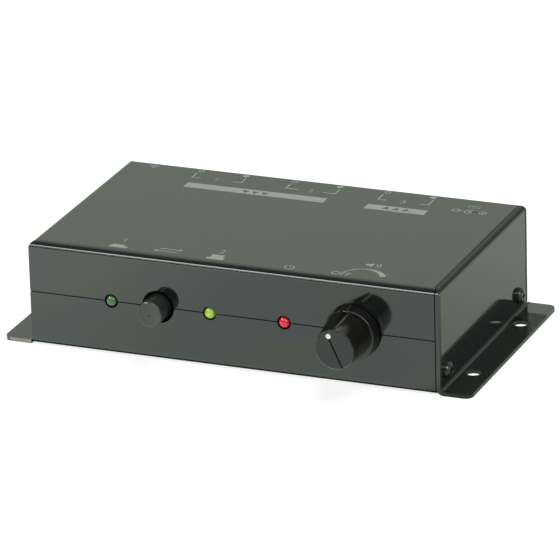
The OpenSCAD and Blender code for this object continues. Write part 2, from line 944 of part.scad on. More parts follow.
// Coil of round wire along Z, as one closed tube
module coil(r, wire_r, turns, length) {
    sides = 6;
    turn_steps = 20;
    steps = turns * turn_steps;
    rise = (length - 2 * wire_r) / steps;
    function ring(i) = [for (k = [0:sides - 1])
        let (turn = i * 360 / turn_steps, tilt = k * 360 / sides, out = r + wire_r * cos(tilt))
        [out * cos(turn), out * sin(turn), wire_r + i * rise + wire_r * sin(tilt)]];
    points = [for (i = [0:steps]) each ring(i)];
    walls = [for (i = [0:steps - 1], k = [0:sides - 1])
        let (a = i * sides, next = (k + 1) % sides)
        [a + k, a + sides + k, a + sides + next, a + next]];
    start = [for (k = [0:sides - 1]) k];
    end = [for (k = [sides - 1:-1:0]) steps * sides + k];
    polyhedron(points, concat([start], walls, [end]));
}

module switch_spring() {
    color("#c9ccc8") control_at(select_x) translate([0, 0, -cavity_back]) {
        coil(spring_r, spring_wire_r, spring_turns, cavity_back - slider_back);
    }
}

// ---- Lamps ----

module lamp_at(x) {
    control_at(x) translate([0, 0, -lamp_base]) children();
}

module lamp_body() {
    r = lamp_d / 2;
    z_rod(lamp_flange_d / 2, 0, lamp_flange_h);
    z_rod(r, 0, lamp_len - r);
    translate([0, 0, lamp_len - r]) sphere(r = r);
}

module phono_lamp() {
    color("#4f7a4c") lamp_at(phono_lamp_x) lamp_body();
}

module aux_lamp() {
    color("#a2c950") lamp_at(aux_lamp_x) lamp_body();
}

module power_lamp() {
    color("#d02f40") lamp_at(power_lamp_x) lamp_body();
}

module lamp_holders() {
    channel = lamp_pitch / 2 + leg_r + lead_clear;
    color("#17181a") for (x = lamps) lamp_at(x) difference() {
        block([-holder_w, holder_w] / 2, [-drop, holder_w / 2], [-holder_d, 0]);
        block([-channel, channel], [-drop - beyond, leg_r + lead_clear],
            [-holder_d - beyond, -holder_wall]);
        for (side = [-1, 1]) {
            translate([side * lamp_pitch / 2, 0, 0]) z_rod(leg_r + leg_clear, -holder_d, beyond);
        }
    }
}

module lamp_legs(grow = 0) {
    for (x = lamps, side = [-1, 1]) {
        leg(x + side * lamp_pitch / 2, front_y + lamp_base + lamp_lead_back, leg_r, grow);
    }
}

module lamp_leads() {
    color("#c9ccc8") {
        lamp_legs();
        for (x = lamps, side = [-1, 1]) lamp_at(x + side * lamp_pitch / 2) {
            z_rod(leg_r, -lamp_lead_back, 0);
            translate([0, 0, -lamp_lead_back]) {
                sphere(r = leg_r);
                rotate([-90, 0, 0]) z_rod(leg_r, -drop, 0);
            }
        }
    }
}

// ---- Audio sockets ----

module pair_at(x) {
    for (side = [-1, 1]) {
        socket_at(x + side * jack_pitch / 2) children();
    }
}

module jack_block(x) {
    half = jack_pitch / 2 + jack_side;
    color("#1b1c1e") difference() {
        socket_at(x) block([-half, half], [-drop, jack_top], [-jack_in - jack_block_d, -jack_in]);
        pair_at(x) z_rod(jack_d / 2 - jack_root_step + press_clear, -jack_in - jack_seat, beyond);
    }
}

module phono_jack_block() {
    jack_block(phono_x);
}

module aux_jack_block() {
    jack_block(aux_x);
}

module output_jack_block() {
    jack_block(output_x);
}

// Metal collar of one socket: a thinner root seated in the block, and a mouth that is rounded
module jack_shell() {
    r = jack_d / 2;
    bore = r - jack_wall;
    lip = jack_wall / 2;
    from = -jack_in - jack_seat;
    rotate_extrude() {
        translate([bore, from]) square([jack_wall - jack_root_step, jack_collar_gap - from]);
        translate([bore, jack_collar_gap]) square([jack_wall, jack_proud - lip - jack_collar_gap]);
        translate([r - lip, jack_proud - lip]) circle(r = lip);
    }
}

module phono_jack_shells() {
    color("#c4c7c4") pair_at(phono_x) jack_shell();
}

module aux_jack_shells() {
    color("#c4c7c4") pair_at(aux_x) jack_shell();
}

module output_jack_shells() {
    color("#c4c7c4") pair_at(output_x) jack_shell();
}

module jack_insert() {
    r = jack_d / 2 - jack_wall - press_clear;
    bore = jack_bore_d / 2 + contact_wall + press_clear;
    top = jack_proud - insert_inset;
    mouth = 0.5;
    difference() {
        z_rod(r, -jack_in - jack_seat, top);
        z_rod(bore, -jack_in - jack_seat - beyond, top + beyond);
        translate([0, 0, top - mouth]) cylinder(r1 = bore, r2 = bore + beyond, h = beyond);
    }
}

// The left channel's socket is to the right of each pair as seen from the rear
module left_jack_inserts() {
    color("#e9e8e2") for (x = pairs) {
        socket_at(x - jack_pitch / 2) jack_insert();
    }
}

module right_jack_inserts() {
    color("#b3262b") for (x = pairs) {
        socket_at(x + jack_pitch / 2) jack_insert();
    }
}

module jack_contacts() {
    r = jack_bore_d / 2;
    from = -jack_in - jack_seat;
    to = jack_proud - insert_inset - contact_inset;
    color("#c9a24a") for (x = pairs) pair_at(x) difference() {
        z_rod(r + contact_wall, from, to);
        z_rod(r, from + contact_floor, to + beyond);
    }
}

module tag(x, y, grow = 0) {
    top = grow > 0 ? beyond : 0;
    block([x - tag_w / 2 - grow, x + tag_w / 2 + grow], [y - tag_t / 2 - grow, y + tag_t / 2 + grow],
        [leg_z, board_top + top]);
}

// Two solder tags for each socket: the shell's and the centre contact's
module jack_legs(grow = 0) {
    for (x = pairs, side = [-1, 1], back = tag_depths) {
        tag(x + side * jack_pitch / 2, rear_y - jack_in - back, grow);
    }
}

module jack_pins() {
    color("#c9ccc8") jack_legs();
}

// ---- Power inlet ----

module dc_housing() {
    floor_at = dc_nose_proud - dc_bore_len;
    color("#1b1c1e") socket_at(dc_x) difference() {
        union() {
            block([-dc_w, dc_w] / 2, [-drop, dc_top], [-jack_in - dc_d, -jack_in]);
            z_rod(dc_nose_r, -jack_in, dc_nose_proud);
        }
        z_rod(dc_bore_d / 2, floor_at, dc_nose_proud + beyond);
        z_rod(dc_pin_d / 2 + dc_pin_root_step + press_clear, floor_at - dc_pin_seat, 0);
        // Groove for the spring contact, under the bore
        block([-dc_leaf_w, dc_leaf_w] / 2, [-dc_groove, 0], [floor_at, floor_at + dc_leaf_len]);
    }
}

// Centre pin, on a thicker root that is seated behind the bore's floor
module dc_pin() {
    r = dc_pin_d / 2;
    floor_at = dc_nose_proud - dc_bore_len;
    tip = dc_nose_proud - dc_pin_inset - r;
    color("#c9ccc8") socket_at(dc_x) {
        z_rod(r + dc_pin_root_step, floor_at - dc_pin_seat, floor_at);
        z_rod(r, floor_at, tip);
        translate([0, 0, tip]) sphere(r = r);
    }
}

module dc_spring_contact() {
    half = dc_leaf_w / 2 - press_clear;
    from = dc_nose_proud - dc_bore_len;
    color("#c9a24a") socket_at(dc_x) {
        block([-half, half], [-dc_groove, dc_leaf_t - dc_groove], [from, from + dc_leaf_len - press_clear]);
    }
}

module dc_legs(grow = 0) {
    for (at = dc_tags) {
        tag(dc_x + at[0], rear_y - jack_in + at[1], grow);
    }
}

module dc_pins() {
    color("#c9ccc8") dc_legs();
}

// ---- Ground terminal ----

module ground_legs(grow = 0) {
    for (end = [-1, 1]) {
        leg(ground_x, rear_y - jack_in - ground_post_d / 2 + end * ground_leg_reach, ground_leg_r, grow);
    }
}

module ground_post() {
    color("#b8964a") {
        socket_at(ground_x) difference() {
            block([-ground_post_w, ground_post_w] / 2, [-drop, ground_post_top],
                [-jack_in - ground_post_d, -jack_in]);
            z_rod(ground_screw_d / 2 + ground_clear, -jack_in - ground_post_d - beyond, beyond);
        }
        ground_legs();
    }
}

module ground_washer() {
    color("#c9ccc8") socket_at(ground_x) difference() {
        z_rod(ground_head_d / 2, 0, washer_t);
        z_rod(ground_screw_d / 2 + washer_clear, -beyond, washer_t + beyond);
    }
}

module ground_screw() {
    r = ground_head_d / 2;
    edge = 0.5;
    knurl_r = 0.3;
    knurl_from = 0.8;
    slot = 0.9;
    slot_depth = 1.2;
    color("#c4c7c4") socket_at(ground_x) translate([0, 0, washer_t]) difference() {
        union() {
            rotate_extrude() turned_outline(r, ground_head_h, edge);
            z_rod(ground_screw_d / 2, -ground_screw_len, 0);
        }
        for (i = [1:knurls]) {
            rotate(i * 360 / knurls) translate([r, 0, 0]) {
                z_rod(knurl_r, knurl_from, ground_head_h + beyond);
            }
        }
        block([-ground_head_d, ground_head_d], [-slot, slot] / 2,
            [ground_head_h - slot_depth, ground_head_h + beyond]);
    }
}

// ---- Electronics ----

module pair_of_legs(pitch, grow = 0) {
    for (side = [-1, 1]) {
        leg(side * pitch / 2, 0, leg_r, grow);
    }
}

// Wires from the board's top up to the underside of a part
module pair_of_wires(pitch, rise) {
    for (side = [-1, 1]) {
        translate([side * pitch / 2, 0, board_top]) cylinder(r = leg_r, h = rise);
    }
}

module chip_legs(grow = 0) {
    for (step = [-1.5, -0.5, 0.5, 1.5], side = [-1, 1]) {
        leg(step * chip_pitch, side * chip_row / 2, leg_r, grow);
    }
}

module chip_body() {
    top = board_top + chip_stand + chip_h;
    notch_r = 0.8;
    notch_depth = 0.4;
    difference() {
        block([-chip_len, chip_len] / 2, [-chip_w, chip_w] / 2, [board_top + chip_stand, top]);
        translate([-chip_len / 2, 0, 0]) z_rod(notch_r, top - notch_depth, top + beyond);
    }
}

module preamp_chip() {
    color("#1a1b1d") translate(chips[0]) rotate(90) chip_body();
}

module buffer_chip() {
    color("#1a1b1d") translate(chips[1]) rotate(90) chip_body();
}

// Legs of both chips: down through the board, and in to the sides of the body
module chip_pins() {
    shoulder = board_top + chip_stand + chip_h / 2;
    color("#c9ccc8") for (at = chips) translate(at) rotate(90) {
        chip_legs();
        for (step = [-1.5, -0.5, 0.5, 1.5], side = [0, 1]) mirror([0, side, 0]) {
            x = step * chip_pitch;
            block([x - leg_r, x + leg_r], [chip_w, chip_row + 2 * leg_r] / 2, [board_top, shoulder]);
        }
    }
}

module can_capacitor(d, h, pitch) {
    edge = 0.5;
    translate([0, 0, board_top + part_stand]) rotate_extrude() turned_outline(d / 2, h, edge);
    pair_of_wires(pitch, part_stand);
    pair_of_legs(pitch);
}

module supply_capacitors() {
    color("#23305c") for (at = supply_caps) {
        translate(at) can_capacitor(supply_d, supply_h, supply_pitch);
    }
}

module coupling_places() {
    for (x = pairs, side = [-1, 1]) {
        translate([x + side * jack_pitch / 2, coupling_y]) children();
    }
}

module coupling_capacitors() {
    color("#23305c") coupling_places() can_capacitor(coupling_d, coupling_h, coupling_pitch);
}

module film_capacitors() {
    color("#a8322c") for (at = film_caps) translate(at) {
        block([-film_len, film_len] / 2, [-film_w, film_w] / 2,
            [board_top + part_stand, board_top + part_stand + film_h]);
        pair_of_wires(film_pitch, part_stand);
        pair_of_legs(film_pitch);
    }
}

module ceramic_capacitors() {
    half = ceramic_t / 2;
    color("#b5702e") for (at = ceramic_caps) translate(at) {
        translate([0, 0, board_top + ceramic_rise]) y_rod(ceramic_d / 2, -half, half);
        pair_of_wires(ceramic_pitch, ceramic_rise);
        pair_of_legs(ceramic_pitch);
    }
}

// Axial part lying over the board, its wires bent down into it
module axial_part(d, length, span) {
    rise = d / 2 + axial_gap;
    translate([0, 0, board_top + rise]) {
        x_rod(d / 2, -length / 2, length / 2);
        x_rod(leg_r, -span / 2, span / 2);
        for (side = [-1, 1]) {
            translate([side * span / 2, 0, 0]) sphere(r = leg_r);
        }
    }
    pair_of_wires(span, rise);
    pair_of_legs(span);
}

module resistor_places() {
    for (i = [0:resistor_count - 1]) {
        translate([resistor_first + i * resistor_step, resistor_y]) rotate(90) children();
    }
}

module resistors() {
    color("#7fa3bf") resistor_places() axial_part(resistor_d, resistor_len, resistor_span);
}

module protection_diode() {
    color("#1a1b1d") translate(diode_at) axial_part(diode_d, diode_len, diode_span);
}

module regulator_legs(grow = 0) {
    for (step = [-1, 0, 1]) {
        leg(step * regulator_pitch, 0, leg_r, grow);
    }
}

// Round body with a flat on the side of its marking
module regulator() {
    color("#1a1b1d") translate(regulator_at) {
        translate([0, 0, board_top + regulator_stand]) difference() {
            cylinder(r = regulator_r, h = regulator_h);
            block([-regulator_r, regulator_r], [regulator_flat, 2 * regulator_r],
                [-beyond, regulator_h + beyond]);
        }
        for (step = [-1, 0, 1]) {
            translate([step * regulator_pitch, 0, board_top]) cylinder(r = leg_r, h = regulator_stand);
        }
        regulator_legs();
    }
}

top_cover();
bottom_chassis();
cover_screws();
main_board();
board_standoffs();
board_screws();
volume_knob();
pot_case();
pot_bushing();
pot_shaft();
pot_rotor();
pot_track();
pot_pins();
power_switch_case();
power_switch_cam();
power_switch_blade();
power_switch_pins();
select_button();
switch_frame();
switch_plunger();
switch_spring();
switch_latch();
switch_wipers();
switch_pins();
phono_lamp();
aux_lamp();
power_lamp();
lamp_holders();
lamp_leads();
phono_jack_block();
aux_jack_block();
output_jack_block();
phono_jack_shells();
aux_jack_shells();
output_jack_shells();
left_jack_inserts();
right_jack_inserts();
jack_contacts();
jack_pins();
dc_housing();
dc_pin();
dc_spring_contact();
dc_pins();
ground_post();
ground_screw();
ground_washer();
preamp_chip();
buffer_chip();
chip_pins();
regulator();
supply_capacitors();
coupling_capacitors();
film_capacitors();
ceramic_capacitors();
resistors();
protection_diode();
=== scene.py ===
"""Dressed model of a phono preamp: the finishes of its case, controls and sockets, and its print."""
import math

import bmesh
import bpy
from mathutils import Matrix, Vector


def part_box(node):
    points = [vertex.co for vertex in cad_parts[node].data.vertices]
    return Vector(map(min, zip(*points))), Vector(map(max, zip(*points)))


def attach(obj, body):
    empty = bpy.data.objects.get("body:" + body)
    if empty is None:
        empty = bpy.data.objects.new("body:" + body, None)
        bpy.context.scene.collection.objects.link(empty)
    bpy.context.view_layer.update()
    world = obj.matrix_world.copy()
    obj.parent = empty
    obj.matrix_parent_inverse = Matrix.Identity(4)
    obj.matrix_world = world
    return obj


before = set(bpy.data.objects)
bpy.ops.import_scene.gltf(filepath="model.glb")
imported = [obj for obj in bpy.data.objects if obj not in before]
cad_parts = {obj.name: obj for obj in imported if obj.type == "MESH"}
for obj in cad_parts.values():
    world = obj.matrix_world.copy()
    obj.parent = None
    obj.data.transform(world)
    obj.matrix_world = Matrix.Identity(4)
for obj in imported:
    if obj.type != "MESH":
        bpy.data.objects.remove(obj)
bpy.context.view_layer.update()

bl_info = {
    "name": "Phono Preamp",
    "version": (1, 0, 0),
    "blender": (4, 5, 0),
    "location": "View3D > Sidebar > Phono Preamp",
    "description": "Builds the print and paint marks of a phono preamp and gives its parts their finishes",
    "category": "Object",
}

MM = 0.001
CASE_LOW, CASE_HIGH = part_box("top_cover")
# Sizes and faces of the sheet-metal case, in millimetres
FLANGE_WIDTH = 7.8
SHEET = 1.0
LAP_DEPTH = 1.1
TOP = CASE_HIGH[2] / MM
FRONT = CASE_LOW[1] / MM
REAR = CASE_HIGH[1] / MM
SIDE = CASE_HIGH[0] / MM - FLANGE_WIDTH
LENS_RADIUS = 1.5
# Height of a font's numerals as a share of its size
NUMERAL_SHARE = 0.72


def centre_of(node):
    """Middle of a node's box, in millimetres."""
    low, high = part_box(node)
    return [(a + b) / 2 / MM for a, b in zip(low, high)]


KNOB_X, _, AXIS_Z = centre_of("pot_bushing")
KNOB_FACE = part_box("volume_knob")[0][1] / MM


# ---- Shader nodes ----

class Value:
    """A socket's number, on which Python's operators add Math nodes."""

    def __init__(self, nodes, socket):
        self.nodes = nodes
        self.socket = socket

    def __add__(self, other):
        return self.nodes.math("ADD", self, other)

    def __sub__(self, other):
        return self.nodes.math("SUBTRACT", self, other)

    def __rsub__(self, other):
        return self.nodes.math("SUBTRACT", other, self)

    def __mul__(self, other):
        return self.nodes.math("MULTIPLY", self, other)

    def __truediv__(self, other):
        return self.nodes.math("DIVIDE", self, other)

    def __gt__(self, other):
        return self.nodes.math("GREATER_THAN", self, other)

    def __lt__(self, other):
        return self.nodes.math("LESS_THAN", self, other)

    __radd__ = __add__
    __rmul__ = __mul__


def opaque(colour):
    """Adds an alpha of 1 to a colour, unless a node makes the colour."""
    return colour if isinstance(colour, Value) else (*colour, 1)


class Nodes:
    """The nodes of one material or world."""

    def __init__(self, tree):
        self.tree = tree
        tree.nodes.clear()

    def node(self, kind, settings=None, inputs=None, out=0):
        """Adds a node, sets its settings and then its sockets, and gives one output."""
        new = self.tree.nodes.new(kind)
        for name, value in (settings or {}).items():
            if name == "stops":
                ramp = new.color_ramp
                while len(ramp.elements) < len(value):
                    ramp.elements.new(1)
                for element, (place, colour) in zip(ramp.elements, value):
                    element.position = place
                    element.color = opaque(colour)
            else:
                setattr(new, name, value)
        for name, value in (inputs or {}).items():
            if isinstance(value, Value):
                self.tree.links.new(value.socket, new.inputs[name])
            else:
                new.inputs[name].default_value = value
        return Value(self, new.outputs[out])

    def math(self, operation, *values):
        return self.node("ShaderNodeMath", {"operation": operation}, dict(enumerate(values)))

    def size_of(self, value):
        """A number without its sign."""
        return self.math("ABSOLUTE", value)

    def smooth(self, value, low, high):
        """0 at low, 1 at high, and a smooth step between them."""
        return self.node("ShaderNodeMapRange", {"interpolation_type": "SMOOTHSTEP"},
                         {"Value": value, "From Min": low, "From Max": high})

    def band(self, value, low, high, step):
        """1 between low and high, with a smooth step inside each end."""
        return self.smooth(value, low, low + step) * self.smooth(value, high, high - step)

    def place(self, centre=(0, 0, 0), scale=(1, 1, 1)):
        """Object coordinates in millimetres round a centre, times a scale for each axis."""
        at = self.node("ShaderNodeTexCoord", out="Object")
        at = self.node("ShaderNodeVectorMath", {"operation": "MULTIPLY_ADD"},
                       {0: at, 1: (1 / MM,) * 3, 2: [-c for c in centre]})
        if scale != (1, 1, 1):
            at = self.node("ShaderNodeMapping", None, {"Vector": at, "Scale": scale})
        return at

    def split(self, vector):
        """The three parts of a vector."""
        first = self.node("ShaderNodeSeparateXYZ", None, {0: vector})
        return [Value(self, socket) for socket in first.socket.node.outputs]

    def rays(self, *kinds):
        """For each kind, 1 for rays of that kind and 0 for others."""
        first = self.node("ShaderNodeLightPath")
        return [Value(self, first.socket.node.outputs[kind]) for kind in kinds]

    def glow(self, colour, kind="ShaderNodeEmission"):
        """Light of one colour, from a surface or from the world's background."""
        return self.node(kind, None, {"Color": opaque(colour), "Strength": 1.0})

    def length(self, a, b):
        return self.math("SQRT", a * a + b * b)

    def noise(self, at, scale, detail=2.0, roughness=0.5):
        return self.node("ShaderNodeTexNoise", None,
                         {"Vector": at, "Scale": scale, "Detail": detail, "Roughness": roughness})

    def cell_edges(self, at, scale):
        """Distance to the nearest edge between irregular cells."""
        return self.node("ShaderNodeTexVoronoi", {"feature": "DISTANCE_TO_EDGE"},
                         {"Vector": at, "Scale": scale})

    def mix(self, factor, a, b):
        """Colour a where factor is 0, and colour b where it is 1."""
        return self.node("ShaderNodeMix", {"data_type": "RGBA"}, {0: factor, 6: opaque(a), 7: opaque(b)}, 2)

    def ramp(self, factor, *stops):
        return self.node("ShaderNodeValToRGB", {"stops": stops}, {0: factor})

    def tone(self, colour, amount):
        """A colour times a number."""
        return self.node("ShaderNodeVectorMath", {"operation": "SCALE"}, {0: colour, "Scale": amount})

    def bump(self, height, distance, strength=1.0, normal=None):
        inputs = {"Height": height, "Distance": distance * MM, "Strength": strength}
        if normal:
            inputs["Normal"] = normal
        return self.node("ShaderNodeBump", None, inputs)

    def surface(self, **sockets):
        """A Principled surface, its sockets named in lower case with _ for a space."""
        inputs = {}
        for name, value in sockets.items():
            name = "IOR" if name == "ior" else name.replace("_", " ").title()
            inputs[name] = opaque(value) if isinstance(value, tuple) else value
        shader = self.node("ShaderNodeBsdfPrincipled", None, inputs)
        self.node_out("ShaderNodeOutputMaterial", shader)
        return shader

    def node_out(self, kind, shader):
        new = self.tree.nodes.new(kind)
        self.tree.links.new(shader.socket, new.inputs["Surface"])


def new_finish(name):
    material = bpy.data.materials.new(name)
    material.use_nodes = True
    return material, Nodes(material.node_tree)


def give(material, *names):
    """Puts a material on CAD nodes."""
    for name in names:
        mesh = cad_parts[name].data
        mesh.materials.clear()
        mesh.materials.append(material)


# ---- Modelling ----

def start():
    """Leaves edit mode and deselects everything."""
    if bpy.context.object and bpy.context.object.mode != "OBJECT":
        bpy.ops.object.mode_set(mode="OBJECT")
    bpy.ops.object.select_all(action="DESELECT")


def active():
    return bpy.context.view_layer.objects.active


def select_mesh(kind, test):
    """In edit mode, selects the faces, edges or verts that pass a test, and nothing else."""
    piece = active()
    mesh = bmesh.from_edit_mesh(piece.data)
    bpy.context.tool_settings.mesh_select_mode = [kind == k for k in ("verts", "edges", "faces")]
    mesh.select_mode = {{"verts": "VERT", "edges": "EDGE", "faces": "FACE"}[kind]}
    for group in (mesh.verts, mesh.edges, mesh.faces):
        for item in group:
            item.select = False
    for item in getattr(mesh, kind):
        if test(item):
            item.select_set(True)
    mesh.select_flush_mode()
    bmesh.update_edit_mesh(piece.data)


def near(a, b, reach=0.01):
    return (Vector(a) - Vector(b)).length < reach * MM


def modifier(kind, **settings):
    """Adds a modifier to the active piece and applies it."""
    new = active().modifiers.new(kind, kind)
    for name, value in settings.items():
        setattr(new, name, value)
    bpy.ops.object.modifier_apply(modifier=new.name)


def settle():
    """Puts the active piece's place into its mesh."""
    bpy.ops.object.mode_set(mode="OBJECT")
    bpy.ops.object.transform_apply(location=True, rotation=True, scale=True)
    return active()


def plate(x, y, width, depth):
    """Flat rectangle on the case's top, centred on x and y."""
    start()
    bpy.ops.mesh.primitive_plane_add(size=1, location=(x * MM, y * MM, TOP * MM))
    bpy.ops.object.mode_set(mode="EDIT")
    bpy.ops.transform.resize(value=(width * MM, depth * MM, 1))
    return settle()


def disc(x, y, radius, sides=40):
    """Flat disc on the case's top."""
    start()
    bpy.ops.mesh.primitive_circle_add(vertices=sides, radius=radius * MM, fill_type="NGON",
                                      location=(x * MM, y * MM, TOP * MM))
    return settle()


def ring(x, y, radius, width, sides=40):
    """Flat ring on the case's top."""
    disc(x, y, radius, sides)
    bpy.ops.object.mode_set(mode="EDIT")
    select_mesh("faces", lambda f: True)
    bpy.ops.mesh.inset(thickness=width * MM)
    bpy.ops.mesh.delete(type="FACE")
    bpy.ops.object.mode_set(mode="OBJECT")
    return active()


def line(width, *points):
    """Flat line of square corners through points, whose runs go along X or Y."""
    half = width / 2
    points = [Vector(point) for point in points]
    way = (points[1] - points[0]).normalized()
    plate(*(points[0] + way * half), width, width)
    at = points[0] + way * width
    bpy.ops.object.mode_set(mode="EDIT")
    for i, (a, b) in enumerate(zip(points, points[1:])):
        way = (b - a).normalized()
        last = i == len(points) - 2
        if i:
            at = a + way * half
        goal = b if last else b - way * half
        select_mesh("edges", lambda e: near((e.verts[0].co + e.verts[1].co) / 2, (*(at * MM), TOP * MM)))
        steps = [goal - at] + ([] if last else [way * width])
        for step in steps:
            bpy.ops.mesh.extrude_region_move(TRANSFORM_OT_translate={"value": (*(step * MM), 0)})
            at = at + step
    return settle()


def arc(x, y, radius, width, from_deg, to_deg, steps=24):
    """Flat arc on the case's top, spun from one end round its centre."""
    turn = math.radians(from_deg)
    out = Vector((math.cos(turn), math.sin(turn), 0))
    centre = Vector((x, y, TOP)) * MM
    start()
    bpy.ops.mesh.primitive_plane_add(size=width * MM, location=centre + out * radius * MM,
                                     rotation=(0, 0, turn))
    settle()
    bpy.ops.object.mode_set(mode="EDIT")
    along = Vector((-out.y, out.x, 0))
    select_mesh("verts", lambda v: (v.co - centre).dot(along) < 0)
    bpy.ops.mesh.delete(type="VERT")
    bpy.ops.mesh.select_all(action="SELECT")
    bpy.ops.mesh.spin(steps=steps, angle=math.radians(from_deg - to_deg), center=centre, axis=(0, 0, 1))
    bpy.ops.object.mode_set(mode="OBJECT")
    return active()


def text(body, x, y, height, stretch=1.0):
    """Numerals or a plain switch word on the case's top, centred on x and y, as a flat mesh."""
    start()
    bpy.ops.object.text_add(location=(x * MM, y * MM, TOP * MM))
    words = active()
    words.data.body = body
    words.data.align_x = "CENTER"
    words.data.align_y = "CENTER"
    words.data.size = height / NUMERAL_SHARE * MM
    words.data.resolution_u = 6
    words.scale = (stretch, 1, 1)
    bpy.ops.object.convert(target="MESH")
    bpy.ops.object.mode_set(mode="EDIT")
    bpy.ops.mesh.select_all(action="SELECT")
    bpy.ops.mesh.remove_doubles(threshold=0.01 * MM)
    return settle()


def cut(piece, cutter):
    """Cuts a piece with another one, which then goes."""
    start()
    piece.select_set(True)
    bpy.context.view_layer.objects.active = piece
    modifier("BOOLEAN", operation="DIFFERENCE", object=cutter, solver="EXACT")
    bpy.data.objects.remove(cutter)


def print_piece(name, parts, ink):
    """Joins flat shapes and gives them the thickness of printed ink."""
    thickness = bpy.context.scene.preamp_sizes.ink_thickness
    start()
    for part in parts:
        part.select_set(True)
    bpy.context.view_layer.objects.active = parts[0]
    if len(parts) > 1:
        bpy.ops.object.join()
    bpy.ops.object.mode_set(mode="EDIT")
    bpy.ops.mesh.select_all(action="SELECT")
    bpy.ops.mesh.normals_make_consistent(inside=False)
    bpy.ops.object.mode_set(mode="OBJECT")
    piece = active()
    if piece.data.polygons[0].normal.z < 0:
        bpy.ops.object.mode_set(mode="EDIT")
        bpy.ops.mesh.flip_normals()
        bpy.ops.object.mode_set(mode="OBJECT")
    modifier("SOLIDIFY", thickness=thickness, offset=1.0)
    return name_piece(piece, name, ink, "housing")


def name_piece(piece, name, material, body):
    """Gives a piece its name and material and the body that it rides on."""
    piece.name = name
    piece.data.name = name
    piece.data.materials.clear()
    piece.data.materials.append(material)
    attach(piece, body)
    return piece


# ---- Settings ----

class PreampSizes(bpy.types.PropertyGroup):
    """Sizes of the print and the paint marks."""
    ink_thickness: bpy.props.FloatProperty(
        name="Ink thickness", description="Thickness of the print on the case's top",
        default=0.00003, min=0.00001, max=0.0001, precision=5, unit="LENGTH")
    line_width: bpy.props.FloatProperty(
        name="Line width", description="Width of the printed lines, in millimetres",
        default=0.36, min=0.2, max=0.8)
    numeral_height: bpy.props.FloatProperty(
        name="Numeral height", description="Height of the printed numerals, in millimetres",
        default=2.1, min=1, max=4)
    dot_radius: bpy.props.FloatProperty(
        name="Dot radius", description="Radius of the paint in the knob's dimple, in millimetres",
        default=0.68, min=0.3, max=0.69)
    pointer_angle: bpy.props.FloatProperty(
        name="Pointer angle", description="Angle of the knob's dot to the left of the top",
        default=math.radians(24.6), unit="ROTATION")


class PreampColours(bpy.types.PropertyGroup):
    """Colours of the finishes."""
    enamel: bpy.props.FloatVectorProperty(
        name="Enamel", description="Body colour of the case's gloss enamel",
        subtype="COLOR", size=3, default=(0.0062, 0.0080, 0.0067), min=0, max=1)
    ink: bpy.props.FloatVectorProperty(
        name="Ink", description="Colour of the print",
        subtype="COLOR", size=3, default=(0.190, 0.206, 0.184), min=0, max=1)
    knob: bpy.props.FloatVectorProperty(
        name="Knob", description="Colour of the knob's plastic",
        subtype="COLOR", size=3, default=(0.0060, 0.0062, 0.0056), min=0, max=1)
    unlit_green: bpy.props.FloatVectorProperty(
        name="Unlit lamp", description="Colour of the green lens while its lamp is off",
        subtype="COLOR", size=3, default=(0.054, 0.148, 0.045), min=0, max=1)
    lit_lime: bpy.props.FloatVectorProperty(
        name="Lit aux lamp", description="Light of the aux lamp's middle",
        subtype="COLOR", size=3, default=(0.42, 0.465, 0.055), min=0, max=1)
    lit_red: bpy.props.FloatVectorProperty(
        name="Lit power lamp", description="Light of the power lamp's middle",
        subtype="COLOR", size=3, default=(0.37, 0.004, 0.028), min=0, max=1)


# ---- Finishes ----

def scaled(colour, amount):
    return tuple(c * amount for c in colour)


def enamel(name, colour):
    """Gloss enamel on folded sheet, with a faint orange peel and dust in the gloss."""
    material, n = new_finish(name)
    at = n.place()
    broad = n.noise(at, 0.035, 3)
    peel = n.noise(at, 0.9, 2, 0.45)
    waves = n.noise(at, 0.05, 1)
    specks = n.smooth(n.noise(at, 3.1, 2, 0.7), 0.66, 0.8)
    body = n.mix(broad, scaled(colour, 0.86), scaled(colour, 1.14))
    gloss = 0.055 + broad * 0.05 + specks * 0.12
    normal = n.bump(waves, 0.02, 0.35)
    normal = n.bump(peel, 0.0012, 0.6, normal)
    # Thin, dull paint on the cut ends of the lapped walls. The left flange's front edge is painted pale and
    # dull: partly a bare cut edge, partly a painted reflection of the bright floor in front of it
    x, y, z = n.split(at)
    low = z < SHEET + 0.2
    cut_ends = (n.size_of(x) > SIDE - 0.03) * (n.size_of(y) > REAR - LAP_DEPTH) * (1 - low)
    bare = (y < FRONT + 0.02) * (x < -SIDE - 0.3) * low
    body = n.mix(bare * 0.8, body, (0.26, 0.25, 0.22))
    gloss = gloss + (cut_ends + bare) * 0.4
    # The right flange is bent a little down towards the front
    bend_start, slope = 24, 0.05
    bent = n.math("MINIMUM", y - bend_start - n.noise(at, 1.5, 2), 0.0)
    normal = n.bump(bent * (x > SIDE + 0.9) * low * slope, 1.0, 1.0, normal)
    n.surface(base_color=body, roughness=gloss, normal=normal, ior=1.6)
    return material


def metal(name, colour, roughness, grain_scale):
    """Bare or plated metal with fine drawn or rolled lines."""
    material, n = new_finish(name)
    lines = n.noise(n.place(scale=grain_scale), 4, 3, 0.6)
    stain = n.noise(n.place(), 0.25, 3)
    tone = n.mix(stain, scaled(colour, 0.86), colour)
    polish = roughness + (lines - 0.5) * 0.7 * roughness + stain * 0.06
    n.surface(base_color=tone, metallic=1.0, roughness=polish, normal=n.bump(lines, 0.002))
    return material


